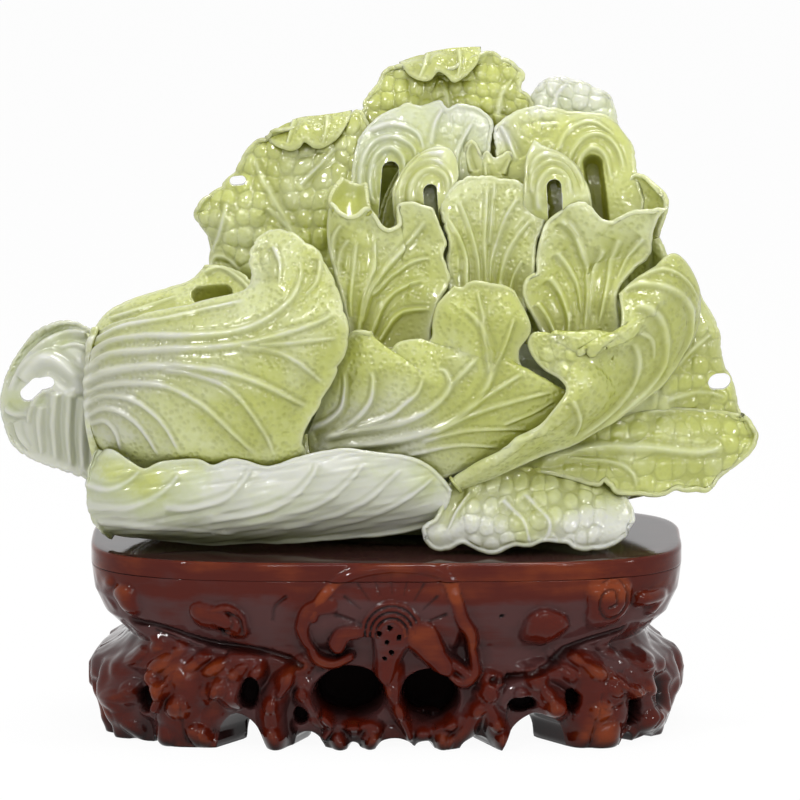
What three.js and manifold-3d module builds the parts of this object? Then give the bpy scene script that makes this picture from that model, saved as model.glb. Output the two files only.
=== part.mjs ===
// Jade cabbage carving on a carved root-wood stand. Millimetres, +Z up, +X to the right of the front view.
// The stone is a pale green cabbage lying open on its side: a solid heart and the leaves cut round it.
// The stand is a waisted hardwood block with root feet, knots and a lingzhi fungus carved on its front.
import * as THREE from 'three';
import { mergeVertices } from 'three/addons/utils/BufferGeometryUtils.js';
import { LoftGeometry } from 'three/addons/geometries/LoftGeometry.js';
import Module from 'manifold-3d';

const wasm = await Module();
wasm.setup();

// Driving sizes of the stone.
const stoneLength = 489;
const stoneHeight = 314;
const stoneDepth = 160;
const rimThickness = 4;

// Driving sizes of the stand.
const standLength = 382;
const standDepth = 200;
const standHeight = 122;
const topThickness = 12;
const standOffset = 3;

// Clearance between one carved form and the next.
const seam = 0.3;

// Corner sharpness of the stand's outline: 2 is an ellipse, larger is squarer.
const outlinePower = 3.6;
const outlineSteps = 44;

// Facets of a leaf along and across, of a root, and of a round boss.
const leafStepsAlong = 7;
const leafStepsAcross = 6;
const rootSides = 12;
const bossSides = 14;
const bossRings = 8;

const leafGreen = new THREE.MeshStandardMaterial({ color: 0xc3cd8c, roughness: 0.28, metalness: 0 });
const paleGreen = new THREE.MeshStandardMaterial({ color: 0xd5dcb0, roughness: 0.28, metalness: 0 });
const stalkWhite = new THREE.MeshStandardMaterial({ color: 0xd8dcd6, roughness: 0.26, metalness: 0 });
const lacquer = new THREE.MeshStandardMaterial({ color: 0x3e1610, roughness: 0.16, metalness: 0 });

// Leaves. Each rib is [one edge, spine, other edge] and each place is [across, up, back]:
// across and up are shares of the stone's length and height from its left end and its resting face,
// and back is a share of half its depth, from -1 at the front to 1 at the rear.
// rootShare is the leaf's thickness behind its root as a share of the stone's depth.
const leafTable = [
  {
    name: 'front_base_leaf', material: stalkWhite, rootShare: 0.16,
    ribShares: [
      [[0.137, 0.024, -0.45], [0.108, 0.105, -0.73], [0.126, 0.199, -0.62]],
      [[0.222, 0.012, -0.53], [0.196, 0.100, -0.93], [0.207, 0.192, -0.91]],
      [[0.308, 0.012, -0.58], [0.295, 0.105, -0.97], [0.306, 0.204, -0.95]],
      [[0.394, 0.019, -0.61], [0.393, 0.112, -0.96], [0.406, 0.213, -0.95]],
      [[0.480, 0.030, -0.64], [0.493, 0.119, -0.91], [0.508, 0.216, -0.94]],
      [[0.565, 0.058, -0.70], [0.584, 0.095, -0.83], [0.594, 0.140, -0.86]],
    ],
  },
  {
    name: 'front_left_leaf', material: leafGreen, rootShare: 0.14,
    ribShares: [
      [[0.120, 0.177, -0.60], [0.101, 0.321, -0.58], [0.117, 0.439, -0.30]],
      [[0.191, 0.165, -0.72], [0.195, 0.340, -0.82], [0.188, 0.477, -0.46]],
      [[0.265, 0.165, -0.77], [0.293, 0.359, -0.94], [0.263, 0.505, -0.57]],
      [[0.341, 0.165, -0.79], [0.388, 0.394, -0.98], [0.329, 0.555, -0.63]],
      [[0.416, 0.175, -0.82], [0.458, 0.459, -0.89], [0.349, 0.652, -0.50]],
    ],
  },
  {
    name: 'front_center_leaf', material: leafGreen, rootShare: 0.10,
    ribShares: [
      [[0.400, 0.228, -0.70], [0.400, 0.190, -0.75], [0.470, 0.158, -0.74]],
      [[0.449, 0.417, -0.71], [0.504, 0.290, -0.84], [0.600, 0.162, -0.80]],
      [[0.531, 0.435, -0.72], [0.630, 0.375, -0.84], [0.728, 0.318, -0.78]],
      [[0.570, 0.460, -0.73], [0.635, 0.440, -0.82], [0.705, 0.400, -0.76]],
      [[0.595, 0.547, -0.70], [0.634, 0.559, -0.73], [0.673, 0.537, -0.72]],
    ],
  },
  {
    name: 'front_right_leaf', material: leafGreen, rootShare: 0.10,
    ribShares: [
      [[0.590, 0.148, -0.80], [0.620, 0.146, -0.84], [0.650, 0.144, -0.76]],
      [[0.675, 0.240, -0.90], [0.703, 0.230, -0.92], [0.720, 0.190, -0.70]],
      [[0.700, 0.360, -0.80], [0.760, 0.335, -0.82], [0.800, 0.250, -0.58]],
      [[0.764, 0.425, -0.76], [0.830, 0.440, -0.72], [0.874, 0.342, -0.40]],
      [[0.809, 0.525, -0.58], [0.878, 0.600, -0.42], [0.918, 0.478, -0.22]],
    ],
  },
  {
    name: 'front_right_base_leaf', material: paleGreen, rootShare: 0.08,
    ribShares: [
      [[0.598, 0.123, -0.60], [0.567, 0.073, -0.75], [0.562, 0.048, -0.80]],
      [[0.631, 0.129, -0.55], [0.618, 0.087, -0.85], [0.598, 0.012, -0.88]],
      [[0.697, 0.127, -0.50], [0.697, 0.087, -0.85], [0.690, 0.016, -0.90]],
      [[0.770, 0.116, -0.45], [0.777, 0.076, -0.82], [0.777, 0.010, -0.88]],
      [[0.819, 0.095, -0.40], [0.833, 0.068, -0.65], [0.819, 0.014, -0.78]],
    ],
  },
  {
    name: 'inner_center_leaf', material: leafGreen, rootShare: 0.06,
    ribShares: [
      [[0.618, 0.455, -0.40], [0.639, 0.450, -0.35], [0.660, 0.455, -0.40]],
      [[0.587, 0.603, -0.40], [0.641, 0.606, -0.22], [0.703, 0.588, -0.40]],
      [[0.578, 0.684, -0.32], [0.647, 0.696, -0.12], [0.717, 0.673, -0.32]],
      [[0.591, 0.732, -0.22], [0.634, 0.750, -0.05], [0.697, 0.722, -0.22]],
    ],
  },
  {
    name: 'inner_left_leaf', material: leafGreen, rootShare: 0.06,
    ribShares: [
      [[0.461, 0.403, -0.66], [0.513, 0.405, -0.62], [0.565, 0.411, -0.66]],
      [[0.447, 0.509, -0.60], [0.512, 0.491, -0.51], [0.576, 0.510, -0.58]],
      [[0.431, 0.610, -0.50], [0.508, 0.580, -0.43], [0.582, 0.601, -0.46]],
      [[0.436, 0.700, -0.44], [0.504, 0.670, -0.43], [0.568, 0.690, -0.38]],
    ],
  },
  {
    name: 'inner_right_leaf', material: leafGreen, rootShare: 0.06,
    ribShares: [
      [[0.727, 0.390, -0.66], [0.765, 0.388, -0.62], [0.804, 0.390, -0.66]],
      [[0.690, 0.496, -0.58], [0.747, 0.489, -0.50], [0.809, 0.507, -0.56]],
      [[0.702, 0.594, -0.44], [0.770, 0.575, -0.36], [0.849, 0.588, -0.36]],
      [[0.740, 0.685, -0.34], [0.801, 0.672, -0.40], [0.870, 0.690, -0.36]],
    ],
  },
  {
    name: 'lower_right_leaf', material: leafGreen, rootShare: 0.08,
    ribShares: [
      [[0.700, 0.190, -0.46], [0.700, 0.172, -0.56], [0.700, 0.150, -0.61]],
      [[0.760, 0.235, -0.42], [0.760, 0.182, -0.56], [0.760, 0.140, -0.62]],
      [[0.820, 0.267, -0.36], [0.820, 0.194, -0.51], [0.815, 0.118, -0.60]],
      [[0.892, 0.277, -0.28], [0.901, 0.188, -0.42], [0.880, 0.105, -0.53]],
      [[0.985, 0.250, -0.18], [0.998, 0.210, -0.22], [0.972, 0.150, -0.34]],
    ],
  },
  {
    name: 'flared_lip_leaf', material: paleGreen, rootShare: 0.05,
    ribShares: [
      [[0.777, 0.540, -0.20], [0.806, 0.537, -0.28], [0.843, 0.540, -0.20]],
      [[0.790, 0.651, -0.05], [0.823, 0.660, -0.25], [0.863, 0.660, -0.10]],
      [[0.797, 0.718, 0.10], [0.837, 0.704, -0.30], [0.880, 0.716, -0.05]],
    ],
  },
  {
    name: 'left_end_leaf', material: stalkWhite, rootShare: 0.10,
    ribShares: [
      [[0.126, 0.412, -0.10], [0.126, 0.297, -0.35], [0.120, 0.158, -0.30]],
      [[0.093, 0.450, -0.10], [0.073, 0.309, -0.40], [0.086, 0.143, -0.30]],
      [[0.046, 0.410, -0.05], [0.027, 0.284, -0.30], [0.040, 0.165, -0.20]],
      [[0.014, 0.332, 0.05], [0.003, 0.286, -0.10], [0.011, 0.219, -0.10]],
    ],
  },
  {
    name: 'heart_left_leaf', material: paleGreen, rootShare: 0.06,
    ribShares: [
      [[0.525, 0.606, -0.20], [0.545, 0.621, -0.30], [0.588, 0.606, -0.20]],
      [[0.519, 0.706, -0.10], [0.551, 0.733, -0.25], [0.591, 0.706, -0.10]],
      [[0.535, 0.760, 0.00], [0.558, 0.781, -0.15], [0.590, 0.754, 0.00]],
      [[0.551, 0.785, 0.10], [0.571, 0.802, 0.00], [0.586, 0.785, 0.10]],
    ],
  },
  {
    name: 'heart_right_leaf', material: paleGreen, rootShare: 0.06,
    ribShares: [
      [[0.711, 0.617, -0.20], [0.744, 0.621, -0.30], [0.777, 0.617, -0.20]],
      [[0.704, 0.706, -0.10], [0.740, 0.733, -0.25], [0.774, 0.706, -0.10]],
      [[0.697, 0.760, 0.00], [0.730, 0.781, -0.15], [0.764, 0.748, 0.00]],
      [[0.690, 0.798, 0.10], [0.711, 0.811, 0.00], [0.740, 0.781, 0.10]],
    ],
  },
  {
    name: 'heart_bud', material: paleGreen, rootShare: 0.06,
    ribShares: [
      [[0.607, 0.690, -0.05], [0.637, 0.690, -0.12], [0.671, 0.690, -0.05]],
      [[0.610, 0.764, 0.00], [0.639, 0.779, -0.10], [0.668, 0.764, 0.00]],
      [[0.618, 0.819, 0.05], [0.639, 0.796, -0.05], [0.665, 0.804, 0.05]],
    ],
  },
  {
    name: 'left_crest_leaf', material: stalkWhite, rootShare: 0.06,
    ribShares: [
      [[0.452, 0.650, 0.15], [0.505, 0.630, 0.10], [0.617, 0.650, 0.15]],
      [[0.455, 0.760, 0.10], [0.525, 0.775, 0.00], [0.642, 0.770, 0.10]],
      [[0.474, 0.825, 0.15], [0.544, 0.882, 0.10], [0.646, 0.856, 0.20]],
    ],
  },
  {
    name: 'right_crest_leaf', material: paleGreen, rootShare: 0.06,
    ribShares: [
      [[0.657, 0.650, 0.15], [0.737, 0.630, 0.10], [0.843, 0.650, 0.10]],
      [[0.647, 0.781, 0.10], [0.737, 0.775, 0.00], [0.843, 0.758, 0.05]],
      [[0.660, 0.860, 0.20], [0.737, 0.890, 0.10], [0.819, 0.825, 0.15]],
    ],
  },
  {
    name: 'crown_leaf', material: leafGreen, rootShare: 0.06,
    ribShares: [
      [[0.472, 0.771, 0.35], [0.578, 0.773, 0.30], [0.697, 0.771, 0.35]],
      [[0.480, 0.884, 0.40], [0.584, 0.900, 0.33], [0.697, 0.894, 0.40]],
      [[0.498, 0.950, 0.45], [0.578, 0.970, 0.40], [0.684, 0.955, 0.45]],
      [[0.518, 0.973, 0.36], [0.584, 0.992, 0.30], [0.657, 0.984, 0.36]],
      [[0.530, 0.960, 0.26], [0.578, 0.947, 0.18], [0.635, 0.965, 0.26]],
    ],
  },
  {
    name: 'top_right_leaf', material: stalkWhite, rootShare: 0.06,
    ribShares: [
      [[0.690, 0.770, 0.40], [0.744, 0.760, 0.35], [0.823, 0.770, 0.35]],
      [[0.702, 0.881, 0.45], [0.748, 0.886, 0.35], [0.814, 0.842, 0.40]],
      [[0.707, 0.927, 0.50], [0.750, 0.934, 0.45], [0.801, 0.888, 0.45]],
    ],
  },
  {
    name: 'back_left_leaf', material: leafGreen, rootShare: 0.10,
    ribShares: [
      [[0.461, 0.427, -0.20], [0.484, 0.617, -0.11], [0.498, 0.802, 0.10]],
      [[0.395, 0.467, -0.11], [0.420, 0.680, -0.01], [0.467, 0.876, 0.26]],
      [[0.325, 0.487, -0.02], [0.338, 0.683, 0.07], [0.403, 0.856, 0.26]],
      [[0.262, 0.532, 0.08], [0.261, 0.688, 0.22], [0.341, 0.820, 0.26]],
    ],
  },
  {
    name: 'back_right_leaf', material: leafGreen, rootShare: 0.08,
    ribShares: [
      [[0.804, 0.179, -0.34], [0.806, 0.298, -0.34], [0.823, 0.408, -0.25]],
      [[0.867, 0.176, -0.28], [0.855, 0.328, -0.29], [0.852, 0.471, -0.16]],
      [[0.929, 0.186, -0.21], [0.903, 0.365, -0.19], [0.878, 0.537, -0.08]],
      [[0.978, 0.246, -0.14], [0.945, 0.389, -0.06], [0.908, 0.531, 0.00]],
    ],
  },
  {
    name: 'shoulder_leaf', material: paleGreen, rootShare: 0.06,
    ribShares: [
      [[0.130, 0.420, -0.30], [0.134, 0.432, -0.06], [0.140, 0.415, 0.12]],
      [[0.212, 0.478, -0.46], [0.210, 0.498, -0.10], [0.214, 0.464, 0.18]],
      [[0.300, 0.524, -0.50], [0.286, 0.531, -0.12], [0.285, 0.490, 0.26]],
    ],
  },
  {
    name: 'rear_center_leaf', material: leafGreen, rootShare: 0.12,
    ribShares: [
      [[0.400, 0.012, 0.68], [0.550, 0.012, 0.85], [0.700, 0.012, 0.68]],
      [[0.400, 0.300, 0.58], [0.560, 0.280, 0.98], [0.730, 0.280, 0.54]],
      [[0.420, 0.600, 0.52], [0.580, 0.580, 0.88], [0.740, 0.560, 0.48]],
      [[0.470, 0.850, 0.58], [0.600, 0.850, 0.72], [0.710, 0.830, 0.60]],
    ],
  },
  {
    name: 'rear_left_leaf', material: paleGreen, rootShare: 0.12,
    ribShares: [
      [[0.140, 0.060, 0.30], [0.120, 0.200, 0.45], [0.150, 0.360, 0.30]],
      [[0.250, 0.012, 0.58], [0.240, 0.220, 0.82], [0.240, 0.450, 0.55]],
      [[0.340, 0.012, 0.66], [0.350, 0.280, 0.95], [0.320, 0.560, 0.58]],
      [[0.385, 0.100, 0.66], [0.395, 0.360, 0.86], [0.370, 0.640, 0.55]],
    ],
  },
  {
    name: 'rear_right_leaf', material: leafGreen, rootShare: 0.12,
    ribShares: [
      [[0.720, 0.020, 0.56], [0.780, 0.040, 0.66], [0.860, 0.060, 0.46]],
      [[0.745, 0.220, 0.60], [0.820, 0.220, 0.70], [0.925, 0.200, 0.36]],
      [[0.755, 0.420, 0.55], [0.830, 0.440, 0.58], [0.915, 0.400, 0.34]],
      [[0.760, 0.600, 0.47], [0.810, 0.600, 0.48], [0.865, 0.560, 0.38]],
    ],
  },
];

// Solid stone that the leaves are cut round. Each section is [place along, low, high, front, rear].
// stalk sections follow the length and give their heights.
// bud sections follow the height and give their ends.
const stalkSectionShares = [
  [0.135, 0.080, 0.300, -0.20, 0.20],
  [0.220, 0.000, 0.400, -0.48, 0.50],
  [0.380, 0.000, 0.440, -0.52, 0.62],
  [0.550, 0.000, 0.440, -0.56, 0.66],
  [0.720, 0.000, 0.420, -0.52, 0.58],
  [0.830, 0.030, 0.310, -0.38, 0.40],
  [0.890, 0.090, 0.230, -0.20, 0.20],
];
const budSectionShares = [
  [0.360, 0.455, 0.790, -0.34, 0.58],
  [0.520, 0.480, 0.790, -0.14, 0.56],
  [0.680, 0.500, 0.780, 0.06, 0.52],
  [0.790, 0.540, 0.740, 0.20, 0.46],
  [0.860, 0.580, 0.700, 0.28, 0.42],
];
const corePower = 2.6;
const ellipsePower = 2;
const coreSides = 20;

// Side of the stand from its lower edge up: [height, inset of the ends, inset of the front and rear].
// Here and below, a height is a share of the stand's height.
// What runs along the stand is a share of half its length, and what runs front to rear of half its depth.
const sideShares = [
  [0.15, 0.064, 0.098],
  [0.28, 0.019, 0.024],
  [0.40, 0.038, 0.049],
  [0.53, 0.134, 0.110],
  [0.64, 0.064, 0.061],
  [0.77, 0.013, 0.012],
];
const topEdgeShare = 0.15;

// Hollows between the roots on the front: [across, up, half width, half height, depth].
const hollowShares = [
  [-0.105, 0.294, 0.118, 0.140, 0.415],
  [0.150, 0.320, 0.096, 0.180, 0.415],
];

// Bosses on the stand: [across, back, up, half width, half depth, half height].
const bossTable = [
  { name: 'left_knot', placeShares: [-0.878, -0.70, 0.764, 0.057, 0.110, 0.105] },
  { name: 'swirl_knot', placeShares: [-0.575, -0.93, 0.678, 0.086, 0.122, 0.092] },
  { name: 'right_knot', placeShares: [0.561, -0.93, 0.640, 0.068, 0.146, 0.107] },
  { name: 'spiral_knot', placeShares: [0.772, -0.86, 0.780, 0.070, 0.110, 0.140] },
  { name: 'left_spur', placeShares: [-0.955, 0.30, 0.640, 0.070, 0.159, 0.095] },
  { name: 'right_spur', placeShares: [0.930, 0.30, 0.620, 0.070, 0.159, 0.095] },
];

// Root feet: each section is [up, across, back, half width, half depth].
const rootTable = [
  {
    name: 'left_front_root',
    sectionShares: [
      [0.00, -0.780, -0.80, 0.172, 0.244],
      [0.15, -0.775, -0.84, 0.153, 0.244],
      [0.33, -0.740, -0.82, 0.128, 0.195],
      [0.50, -0.700, -0.74, 0.057, 0.110],
    ],
  },
  {
    name: 'left_end_root',
    sectionShares: [
      [0.00, -0.900, -0.20, 0.083, 0.403],
      [0.20, -0.935, -0.22, 0.077, 0.415],
      [0.38, -0.900, -0.20, 0.070, 0.293],
      [0.52, -0.850, -0.20, 0.038, 0.146],
    ],
  },
  {
    name: 'slender_front_root',
    sectionShares: [
      [0.00, -0.390, -0.90, 0.054, 0.110],
      [0.20, -0.380, -0.88, 0.048, 0.104],
      [0.40, -0.350, -0.88, 0.064, 0.110],
      [0.52, -0.330, -0.80, 0.032, 0.073],
    ],
  },
  {
    name: 'short_front_root',
    sectionShares: [
      [0.00, -0.130, -0.92, 0.093, 0.134],
      [0.10, -0.135, -0.93, 0.080, 0.128],
      [0.20, -0.170, -0.92, 0.057, 0.098],
      [0.27, -0.200, -0.90, 0.029, 0.061],
    ],
  },
  {
    name: 'forked_root',
    sectionShares: [
      [0.00, 0.215, -0.92, 0.045, 0.098],
      [0.13, 0.240, -0.92, 0.042, 0.098],
      [0.26, 0.300, -0.91, 0.057, 0.098],
      [0.38, 0.330, -0.88, 0.032, 0.073],
    ],
  },
  {
    name: 'pointed_root',
    sectionShares: [
      [0.00, 0.430, -0.94, 0.042, 0.091],
      [0.12, 0.390, -0.93, 0.048, 0.098],
      [0.24, 0.345, -0.91, 0.045, 0.098],
    ],
  },
  {
    name: 'hanging_root',
    sectionShares: [
      [0.17, 0.572, -0.96, 0.035, 0.073],
      [0.24, 0.565, -0.96, 0.051, 0.110],
      [0.36, 0.540, -0.92, 0.083, 0.134],
      [0.46, 0.530, -0.84, 0.045, 0.085],
    ],
  },
  {
    name: 'right_front_root',
    sectionShares: [
      [0.00, 0.728, -0.86, 0.099, 0.183],
      [0.20, 0.722, -0.86, 0.086, 0.171],
      [0.35, 0.705, -0.84, 0.096, 0.159],
      [0.48, 0.690, -0.76, 0.051, 0.098],
    ],
  },
  {
    name: 'right_end_root',
    sectionShares: [
      [0.00, 0.900, -0.25, 0.083, 0.427],
      [0.20, 0.920, -0.25, 0.077, 0.415],
      [0.38, 0.915, -0.22, 0.077, 0.293],
      [0.54, 0.860, -0.20, 0.038, 0.146],
    ],
  },
  {
    name: 'rear_left_root',
    sectionShares: [
      [0.00, -0.700, 0.80, 0.160, 0.232],
      [0.18, -0.700, 0.83, 0.141, 0.232],
      [0.34, -0.680, 0.80, 0.115, 0.183],
      [0.50, -0.650, 0.72, 0.057, 0.110],
    ],
  },
  {
    name: 'rear_center_root',
    sectionShares: [
      [0.00, 0.020, 0.88, 0.109, 0.159],
      [0.20, 0.010, 0.88, 0.083, 0.146],
      [0.38, 0.000, 0.84, 0.102, 0.134],
      [0.50, 0.000, 0.76, 0.051, 0.085],
    ],
  },
  {
    name: 'rear_right_root',
    sectionShares: [
      [0.00, 0.700, 0.80, 0.153, 0.232],
      [0.18, 0.690, 0.83, 0.134, 0.232],
      [0.34, 0.670, 0.80, 0.109, 0.183],
      [0.50, 0.640, 0.72, 0.057, 0.110],
    ],
  },
];

// Lingzhi fungus on the stand's front: places are [across, up] and radii are shares of the stand's height.
const fungus = {
  centreShares: [-0.007, 0.600],
  fanShare: 0.300,
  crownShare: 0.185,
  fanRiseShare: 0.030,
  crownRiseShare: 0.065,
  setShare: 0.110,
  lipShare: 0.036,
  archShares: [
    [-0.300, 0.690], [-0.230, 0.800], [-0.120, 0.868], [0.020, 0.885], [0.150, 0.850],
    [0.235, 0.750], [0.290, 0.630], [0.320, 0.520], [0.300, 0.400], [0.235, 0.340],
  ],
  scrollShare: 0.026,
  leftScrollShares: [-0.195, 0.600, 0.150],
  rightScrollShares: [0.170, 0.500, 0.125],
  scrollTurns: 1.15,
  scrollEndShare: 0.40,
  scrollSteps: 22,
  archSteps: 22,
  stemSectionShares: [
    [0.10, 0.085, -0.96, 0.019, 0.043],
    [0.20, 0.055, -0.96, 0.029, 0.055],
    [0.34, 0.022, -0.94, 0.038, 0.073],
    [0.44, 0.012, -0.93, 0.051, 0.079],
  ],
};

const halfLength = standLength / 2;
const halfDepth = standDepth / 2;
const bodyTop = standHeight - topThickness;

// Joins and cuts.
function solidOf(geometry) {
  const bare = new THREE.BufferGeometry().copy(geometry);
  bare.deleteAttribute('normal');
  bare.deleteAttribute('uv');
  const merged = mergeVertices(bare);
  const vertProperties = new Float32Array(merged.attributes.position.array);
  const triVerts = new Uint32Array(merged.index.array);
  return new wasm.Manifold(new wasm.Mesh({ numProp: 3, vertProperties, triVerts }));
}

function geometryOf(solid) {
  const mesh = solid.getMesh();
  const geometry = new THREE.BufferGeometry();
  geometry.setAttribute('position', new THREE.BufferAttribute(mesh.vertProperties, 3));
  geometry.setIndex(new THREE.BufferAttribute(mesh.triVerts, 1));
  geometry.computeVertexNormals();
  return geometry;
}

function largestBody(solid) {
  const bodies = solid.decompose();
  return bodies.reduce((best, body) => (body.volume() > best.volume() ? body : best));
}

function cutBy(solid, cutters) {
  return largestBody(cutters.reduce((rest, cutter) => rest.subtract(cutter), solid));
}

// A place on the stone from its shares.
function stonePlace([across, up, back]) {
  const x = (across - 0.5) * stoneLength;
  const y = back * stoneDepth / 2;
  const z = standHeight + up * stoneHeight;
  return new THREE.Vector3(x, y, z);
}

// The middle surface of a leaf: smooth rails along its edges and spine, and a parabola from rail to rail.
function leafSurface(ribShares) {
  const rails = [0, 1, 2].map((side) => (
    new THREE.CatmullRomCurve3(ribShares.map((rib) => stonePlace(rib[side])), false, 'catmullrom')
  ));
  return (along, across) => {
    const [edge, spine, otherEdge] = rails.map((rail) => rail.getPoint(along));
    return new THREE.Vector3()
      .addScaledVector(edge, across * (across - 1) / 2)
      .addScaledVector(spine, 1 - across * across)
      .addScaledVector(otherEdge, across * (across + 1) / 2);
  };
}

// Normal of a leaf surface, turned to the side that faces away from the heart of the stone.
function leafNormal(surface, along, across) {
  const stepShare = 0.01;
  const a = Math.min(Math.max(along, stepShare), 1 - stepShare);
  const b = Math.min(Math.max(across, stepShare - 1), 1 - stepShare);
  const alongWay = surface(a + stepShare, b).sub(surface(a - stepShare, b));
  const acrossWay = surface(a, b + stepShare).sub(surface(a, b - stepShare));
  return alongWay.cross(acrossWay).normalize();
}

// A closed leaf: outer skin, inner skin and the rim that joins them.
// grown widens it all round by a clearance.
function leafGeometry(leaf, grown) {
  const surface = leafSurface(leaf.ribShares);
  const middle = leafNormal(surface, 0.5, 0);
  const outward = Math.sign(middle.y * stonePlace(leaf.ribShares[1][1]).y) || 1;
  const rootThickness = leaf.rootShare * stoneDepth;
  const rows = leafStepsAlong + 1;
  const columns = leafStepsAcross + 1;
  const positions = [];
  for (const skin of [1, -1]) {
    for (let i = 0; i < rows; i += 1) {
      for (let j = 0; j < columns; j += 1) {
        const along = i / leafStepsAlong;
        const across = 2 * j / leafStepsAcross - 1;
        const point = surface(along, across);
        const normal = leafNormal(surface, along, across).multiplyScalar(outward);
        const fullness = (1 - along) * (1 - across * across);
        const behind = rimThickness / 2 + (rootThickness - rimThickness / 2) * fullness;
        point.addScaledVector(normal, skin > 0 ? rimThickness / 2 + grown : -behind - grown);
        if (grown > 0) {
          point.add(rimGrowth(surface, along, across, grown));
        }
        positions.push(point.x, point.y, point.z);
      }
    }
  }
  const geometry = new THREE.BufferGeometry();
  geometry.setAttribute('position', new THREE.Float32BufferAttribute(positions, 3));
  geometry.setIndex(shellFaces(rows, columns, outward > 0));
  return geometry;
}

// How far a point on the rim of a leaf moves outward when the leaf is widened.
function rimGrowth(surface, along, across, grown) {
  const stepShare = 0.01;
  const shift = new THREE.Vector3();
  if (along === 0 || along === 1) {
    const inner = along === 0 ? stepShare : 1 - stepShare;
    shift.add(surface(along, across).sub(surface(inner, across)).setLength(grown));
  }
  if (Math.abs(across) === 1) {
    const inner = across * (1 - stepShare);
    shift.add(surface(along, across).sub(surface(along, inner)).setLength(grown));
  }
  return shift;
}

// Triangles of two skins of rows by columns points and the wall round them.
function shellFaces(rows, columns, outerFirst) {
  const faces = [];
  const skinSize = rows * columns;
  const quad = (a, b, c, d) => {
    if (outerFirst) {
      faces.push(a, b, c, a, c, d);
    } else {
      faces.push(a, c, b, a, d, c);
    }
  };
  const at = (i, j) => i * columns + j;
  const under = (i, j) => skinSize + at(i, j);
  for (let i = 0; i < rows - 1; i += 1) {
    for (let j = 0; j < columns - 1; j += 1) {
      quad(at(i, j), at(i + 1, j), at(i + 1, j + 1), at(i, j + 1));
      quad(under(i, j), under(i, j + 1), under(i + 1, j + 1), under(i + 1, j));
    }
  }
  const rim = [];
  for (let j = 0; j < columns - 1; j += 1) rim.push(at(0, j));
  for (let i = 0; i < rows - 1; i += 1) rim.push(at(i, columns - 1));
  for (let j = columns - 1; j > 0; j -= 1) rim.push(at(rows - 1, j));
  for (let i = rows - 1; i > 0; i -= 1) rim.push(at(i, 0));
  rim.forEach((point, index) => {
    const next = rim[(index + 1) % rim.length];
    quad(point, next, skinSize + next, skinSize + point);
  });
  return faces;
}

// A ring of points on a rounded outline: power 2 is an ellipse, and larger is squarer.
function roundedRing(sides, power, placeAt) {
  const ring = [];
  for (let k = 0; k < sides; k += 1) {
    const angle = 2 * Math.PI * k / sides;
    const c = Math.cos(angle);
    const s = Math.sin(angle);
    const across = Math.sign(c) * Math.abs(c) ** (2 / power);
    const away = Math.sign(s) * Math.abs(s) ** (2 / power);
    ring.push(placeAt(across, away));
  }
  return ring;
}

function loft(sections) {
  return new LoftGeometry(sections, { closed: true, capStart: true, capEnd: true });
}

// The stalk: upright sections that follow the stone's length, flat underneath where it rests.
function stalkGeometry(grown) {
  const last = stalkSectionShares.length - 1;
  const sections = stalkSectionShares.map(([along, low, high, front, rear], index) => {
    const centre = stonePlace([along, (low + high) / 2, (front + rear) / 2]);
    const corner = stonePlace([along, high, rear]);
    const endShift = index === 0 ? -grown : index === last ? grown : 0;
    const rise = corner.z - centre.z + grown;
    const reach = corner.y - centre.y + grown;
    const floor = low === 0 ? standHeight - grown : -Infinity;
    return roundedRing(coreSides, corePower, (across, away) => new THREE.Vector3(
      centre.x + endShift,
      centre.y + reach * across,
      Math.max(centre.z + rise * away, floor),
    ));
  });
  return loft(sections);
}

// The inner bud: level sections that follow the stone's height.
function budGeometry(grown) {
  const last = budSectionShares.length - 1;
  const sections = budSectionShares.map(([up, left, right, front, rear], index) => {
    const centre = stonePlace([(left + right) / 2, up, (front + rear) / 2]);
    const corner = stonePlace([right, up, rear]);
    const endShift = index === 0 ? -grown : index === last ? grown : 0;
    const width = corner.x - centre.x + grown;
    const reach = corner.y - centre.y + grown;
    return roundedRing(coreSides, corePower, (across, away) => new THREE.Vector3(
      centre.x + width * across,
      centre.y + reach * away,
      centre.z + endShift,
    ));
  });
  return loft(sections);
}

// A level outline of the stand, drawn in by one inset at the ends and one at the front and rear.
function standRing(height, endInset, frontInset) {
  return roundedRing(outlineSteps, outlinePower, (across, away) => new THREE.Vector3(
    (halfLength - endInset) * across,
    (halfDepth - frontInset) * away,
    height,
  ));
}

function standBodyGeometry(grown) {
  const rings = sideShares.map(([up, endInset, frontInset], index) => standRing(
    up * standHeight - (index === 0 ? grown : 0),
    endInset * halfLength - grown,
    frontInset * halfDepth - grown,
  ));
  rings.push(standRing(bodyTop + grown, -grown, -grown));
  return loft(rings);
}

function standTopGeometry(grown) {
  const edge = topEdgeShare * topThickness;
  return loft([
    standRing(bodyTop - grown, -grown, -grown),
    standRing(standHeight - edge, -grown, -grown),
    standRing(standHeight + grown, edge - grown, edge - grown),
  ]);
}

// Front of the stand's body above a place given in shares: the depth where a carved form sits on it.
function frontOfBody(across, up) {
  const steps = [...sideShares, [bodyTop / standHeight, 0, 0]];
  const after = Math.max(1, steps.findIndex(([height]) => height >= up));
  const [low, lowEnd, lowFront] = steps[after - 1];
  const [high, highEnd, highFront] = steps[after];
  const endInset = THREE.MathUtils.mapLinear(up, low, high, lowEnd, highEnd);
  const frontInset = THREE.MathUtils.mapLinear(up, low, high, lowFront, highFront);
  const run = Math.min(Math.abs(across) / (1 - endInset), 1);
  return -halfDepth * (1 - frontInset) * (1 - run ** outlinePower) ** (1 / outlinePower);
}

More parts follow.
